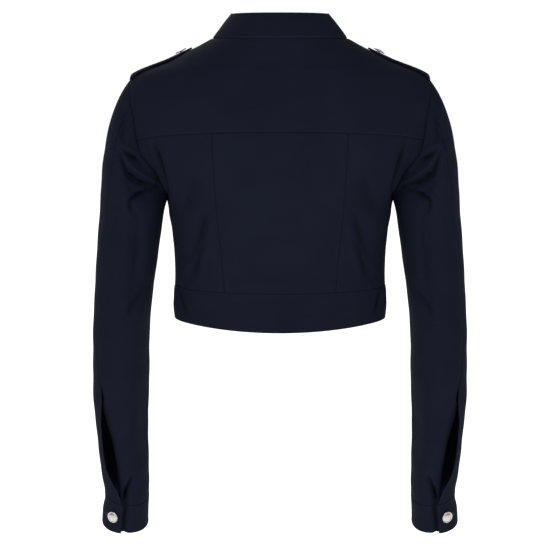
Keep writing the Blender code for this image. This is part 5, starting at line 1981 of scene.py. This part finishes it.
@dataclass
class Cuffs:
    """The cuffs: strips whose ends lap over themselves as tabs, each closed by a button."""

    finishes: Finishes
    form: SleeveForm = SleeveForm()
    grain: Grain = Grain()
    wall: ClothWall = ClothWall(thickness=2.2, seam_depth=0.95)
    stitching: Stitching = Stitching()
    hem: float = -642.0
    hem_slant: float = 2.5
    under_edge: float = 404.0
    button_turn: float = 27.0
    button_share: float = 0.42
    radius: float = 33.0

    def sheet(self) -> Sheet:
        """The cuff's grid, from its seam down to its hem and once round the arm and over."""
        turns = fine_steps(self.form.tab_edge, self.under_edge, 245.0, self.grain.spacing)
        share = fine_steps(0.0, 1.0, 42.0, self.grain.spacing)[:, None]
        hem = self.hem + self.hem_slant * np.sin(np.radians(turns))
        seam = self.form.cuff_seam_z(turns)
        turns, z = floats(turns[None, :], seam + (hem - seam) * share)
        edges = (Edge.SEAM, Edge.FOLDED, Edge.FOLDED, Edge.FOLDED)
        return Sheet(*self.form.cuff_cloth(turns, z), edges).rippled(Ripple(0.15))

    def button_z(self) -> float:
        """The height of the button."""
        return self.form.cuff_seam + (self.hem - self.form.cuff_seam) * self.button_share

    def near_button(self, along: Array, across: Array) -> tuple[Array, Array]:
        """(points, normals) of the cloth at distances from the button's post."""
        turn = self.button_turn + np.degrees(along / self.radius)
        return self.form.cuff_cloth(turn, self.button_z() + across)

    def build(self) -> None:
        """Builds both cuffs with their buttons, buttonholes and stitches."""
        sheet = self.sheet()
        lines = [sheet.line_at(border, self.stitching.inset) for border in (0, 1, 2)]
        seat, facing = self.form.cuff_cloth(np.array([self.button_turn]), np.array([self.button_z()]))
        for side in Side:
            name = f"cuff_{side.word}"
            piece = self.wall.build(f"{name}_cloth", sheet, side, self.finishes.cloth)
            settle(piece, Slot.SUITING, name)
            stitches = self.stitching.rows(f"{name}_stitches", lines, side, self.finishes)
            hole = Buttonhole().build(f"{name}_buttonhole", self.near_button, side, self.finishes)
            DomedButton().build(
                f"cuff_button_{side.word}", seat[0], facing[0], side, self.finishes
            )


@dataclass
class ShoulderStraps:
    """The straps that lie on the shoulders, from the armhole to a pointed end with a button."""

    finishes: Finishes
    body: BodyForm = BodyForm()
    grain: Grain = Grain()
    wall: ClothWall = ClothWall(thickness=2.2)
    stitching: Stitching = Stitching()
    from_x: float = 189.0
    to_x: float = 112.0
    half_width: float = 21.0
    tip_half_width: float = 17.0
    point: float = 13.0
    point_half_width: float = 4.0
    lie: float = 2.55
    lift: float = 0.6
    end_lift: float = 1.2
    button_x: float = 125.0

    def on_body(self, x: Array, y: Array) -> tuple[Array, Array]:
        """(turn, z) of the body's top surface at x and y, found by halving its height."""
        x, y = floats(x, y)

        def outside(z: Array) -> Array:
            """How far out of the section at height z the point is."""
            half_width, back, front, fullness = self.body.sections.all_at(z)
            depth = np.where(y >= 0, back, front)
            turn = np.arctan2(x / half_width, y / depth)
            return np.hypot(x / half_width, y / depth) - fullness * np.sin(2 * turn) ** 2

        z = halve(outside, np.ones(x.shape), np.full(x.shape, -110.0), np.full(x.shape, 2.0))
        half_width, back, front, _ = self.body.sections.all_at(z)
        return np.arctan2(x / half_width, y / np.where(y >= 0, back, front)), z

    def surface(self, along: Array, across: Array) -> tuple[Array, Array]:
        """(points, normals) of the strap's outer face, from the armhole (0) to its point (1)."""
        along, across = floats(along, across)
        x = self.from_x + (self.to_x - self.from_x) * along
        to_point = np.clip((x - self.to_x) / self.point, 0.0, 1.0)
        half = self.tip_half_width + (self.half_width - self.tip_half_width) * (1 - along)
        half = self.point_half_width + (half - self.point_half_width) * to_point
        turn, z = self.on_body(x, across * half)
        out = self.lie + self.lift * np.sin(math.pi * along) ** 2
        out = out + self.end_lift * ease(along, 0.3, 0.0)
        normals = self.body.normal(turn, z)
        return self.body.point(turn, z) + normals * out[..., None], normals

    def near_button(self, along: Array, across: Array) -> tuple[Array, Array]:
        """(points, normals) of the strap at distances from the button's post."""
        share = (self.from_x - self.button_x - along) / (self.from_x - self.to_x)
        return self.surface(share, across / self.tip_half_width)

    def build(self) -> None:
        """Builds both straps with their buttons, buttonholes and stitches."""
        length = self.from_x - self.to_x
        along = fine_steps(0.0, 1.0, length, self.grain.spacing)[:, None]
        across = fine_steps(-1.0, 1.0, 2 * self.half_width, self.grain.spacing)[None, :]
        points, normals = self.surface(along, across)
        edges = (Edge.SEAM, Edge.FOLDED, Edge.FOLDED, Edge.FOLDED)
        sheet = Sheet(points, normals, edges)
        lines = [sheet.line_at(border, self.stitching.inset) for border in (1, 2, 3)]
        seat, facing = self.near_button(np.array([0.0]), np.array([0.0]))
        for side in Side:
            name = f"shoulder_strap_{side.word}"
            piece = self.wall.build(f"{name}_cloth", sheet, side, self.finishes.cloth)
            settle(piece, Slot.SUITING, name)
            stitches = self.stitching.rows(f"{name}_stitches", lines, side, self.finishes)
            hole = Buttonhole().build(f"{name}_buttonhole", self.near_button, side, self.finishes)
            DomedButton().build(
                f"shoulder_button_{side.word}", seat[0], facing[0], side, self.finishes
            )


@dataclass
class FrontButtons(Fronts):
    """The five buttons on the right front and its waistband, with their buttonholes."""

    heights: tuple[float, ...] = (-88.0, -150.0, -212.0, -274.0, -346.0)

    def build(self) -> None:
        """Builds the buttons and buttonholes on the centre front line."""
        for number, height in enumerate(self.heights, 1):
            seat, normal = self.body.cloth(np.array([math.pi]), np.array([height]))
            facing = unit(normal[0] * np.array([0, 1.0, 1.0]))
            seat = seat[0] * np.array([0, 1.0, 1.0]) + facing * self.rise
            DomedButton().build(f"front_button_{number}", seat, facing, Side.RIGHT, self.finishes)

            def near(along: Array, across: Array, z: float = height) -> tuple[Array, Array]:
                """(points, normals) of the right front at distances from this button's post."""
                half_width = self.body.sections.at("half_width", z + across)
                turn = math.pi - np.arcsin(along / half_width)
                points, normals = self.body.cloth(turn, z + across)
                return self.raised(points, normals), normals

            Buttonhole().build(
                f"front_buttonhole_{number}", near, Side.RIGHT, self.finishes
            )


@dataclass(frozen=True)
class Softbox:
    """A square area light.

    Attributes:
        name: What it is for.
        place: Where it stands, in metres.
        aim: What it points at, in metres.
        size: The length of its side, in metres.
        watts: Its strength.
    """

    name: str
    place: tuple[float, float, float]
    aim: tuple[float, float, float]
    size: float
    watts: float

    def build(self) -> None:
        """Adds the light to the scene."""
        light = bpy.data.lights.new(self.name, "AREA")
        light.shape, light.size, light.energy = "SQUARE", self.size, self.watts
        lamp = bpy.data.objects.new(self.name, light)
        lamp.location = self.place
        lamp.rotation_euler = (Vector(self.aim) - lamp.location).to_track_quat("-Z", "Y").to_euler()
        bpy.context.scene.collection.objects.link(lamp)


@dataclass
class Studio:
    """The pale ground, the soft light and the camera at the photograph's angle."""

    floor_z: float = -1.38
    floor_radius: float = 14.0
    camera_place: tuple[float, float, float] = (0.0, 2.4, 0.0)
    camera_aim: tuple[float, float, float] = (0.0, 0.0, -0.3119)
    lens_mm: float = 119.7
    sensor_mm: float = 36.0
    surround: float = 0.34
    lights: tuple[Softbox, ...] = (
        Softbox("key above the camera", (0.25, 2.1, 1.55), (0.0, 0.0, -0.25), 1.0, 27.0),
        Softbox("light from the left", (1.35, 2.1, 0.5), (0.1, 0.0, -0.3), 1.0, 18.0),
        Softbox("light from the right", (-1.35, 2.1, 0.5), (-0.1, 0.0, -0.3), 1.0, 14.0),
        Softbox("light on the front", (0.8, -2.2, 1.2), (0.0, 0.0, -0.3), 1.8, 34.0),
    )

    def build_floor(self) -> None:
        """A round, pale floor far below the jacket, at the height of a wearer's feet."""
        angle = np.linspace(0, 2 * math.pi, 64, endpoint=False)
        rings = [0.02, self.floor_radius / 2, self.floor_radius]
        points = np.concatenate([
            np.stack([r * np.cos(angle), r * np.sin(angle), np.full(64, self.floor_z)], -1)
            for r in rings
        ])
        index = np.arange(len(points)).reshape(len(rings), -1)
        ahead = np.roll(index, -1, axis=1)
        faces = np.stack([index[:-1], index[1:], ahead[1:], ahead[:-1]], -1).reshape(-1, 4)
        floor = add_mesh("studio_floor", points / MM, faces, StagePaper().material("studio paper"))

    def build_surround(self) -> None:
        """An even white surround, which lights the jacket less than it shows behind it."""
        world = bpy.data.worlds.new("white surround")
        world.use_nodes = True
        nodes, links = world.node_tree.nodes, world.node_tree.links
        nodes.clear()
        out = nodes.new("ShaderNodeOutputWorld")
        seen, lighting = nodes.new("ShaderNodeBackground"), nodes.new("ShaderNodeBackground")
        seen.inputs["Color"].default_value = (1.0, 1.0, 1.0, 1.0)
        seen.inputs["Strength"].default_value = 1.05
        lighting.inputs["Color"].default_value = (1.0, 1.0, 1.0, 1.0)
        lighting.inputs["Strength"].default_value = self.surround
        which, mix = nodes.new("ShaderNodeLightPath"), nodes.new("ShaderNodeMixShader")
        links.new(which.outputs["Is Camera Ray"], mix.inputs["Fac"])
        links.new(lighting.outputs["Background"], mix.inputs[1])
        links.new(seen.outputs["Background"], mix.inputs[2])
        links.new(mix.outputs["Shader"], out.inputs["Surface"])
        bpy.context.scene.world = world

    def build_camera(self) -> None:
        """The camera, behind the jacket and a little above it, level with the collar."""
        camera = bpy.data.cameras.new("camera")
        camera.lens, camera.sensor_width = self.lens_mm, self.sensor_mm
        holder = bpy.data.objects.new("camera", camera)
        holder.location = self.camera_place
        aim = Vector(self.camera_aim) - holder.location
        holder.rotation_euler = aim.to_track_quat("-Z", "Y").to_euler()
        bpy.context.scene.collection.objects.link(holder)
        bpy.context.scene.camera = holder

    def build(self) -> None:
        """Builds the stage, the lights and the camera."""
        self.build_floor()
        self.build_surround()
        for light in self.lights:
            light.build()
        self.build_camera()
        bpy.context.scene.view_settings.view_transform = "Standard"


def main() -> None:
    """Builds the jacket's sub-assemblies in order, then the studio, and reports each piece."""
    logging.basicConfig(level=logging.INFO, format="%(message)s")
    finishes = Finishes()
    Back(finishes).build()
    Fronts(finishes).build()
    Waistband(finishes).build()
    Collar(finishes).build()
    Sleeves(finishes).build()
    Cuffs(finishes).build()
    ShoulderStraps(finishes).build()
    FrontButtons(finishes).build()
    Studio().build()


if __name__ == "__main__":
    main()
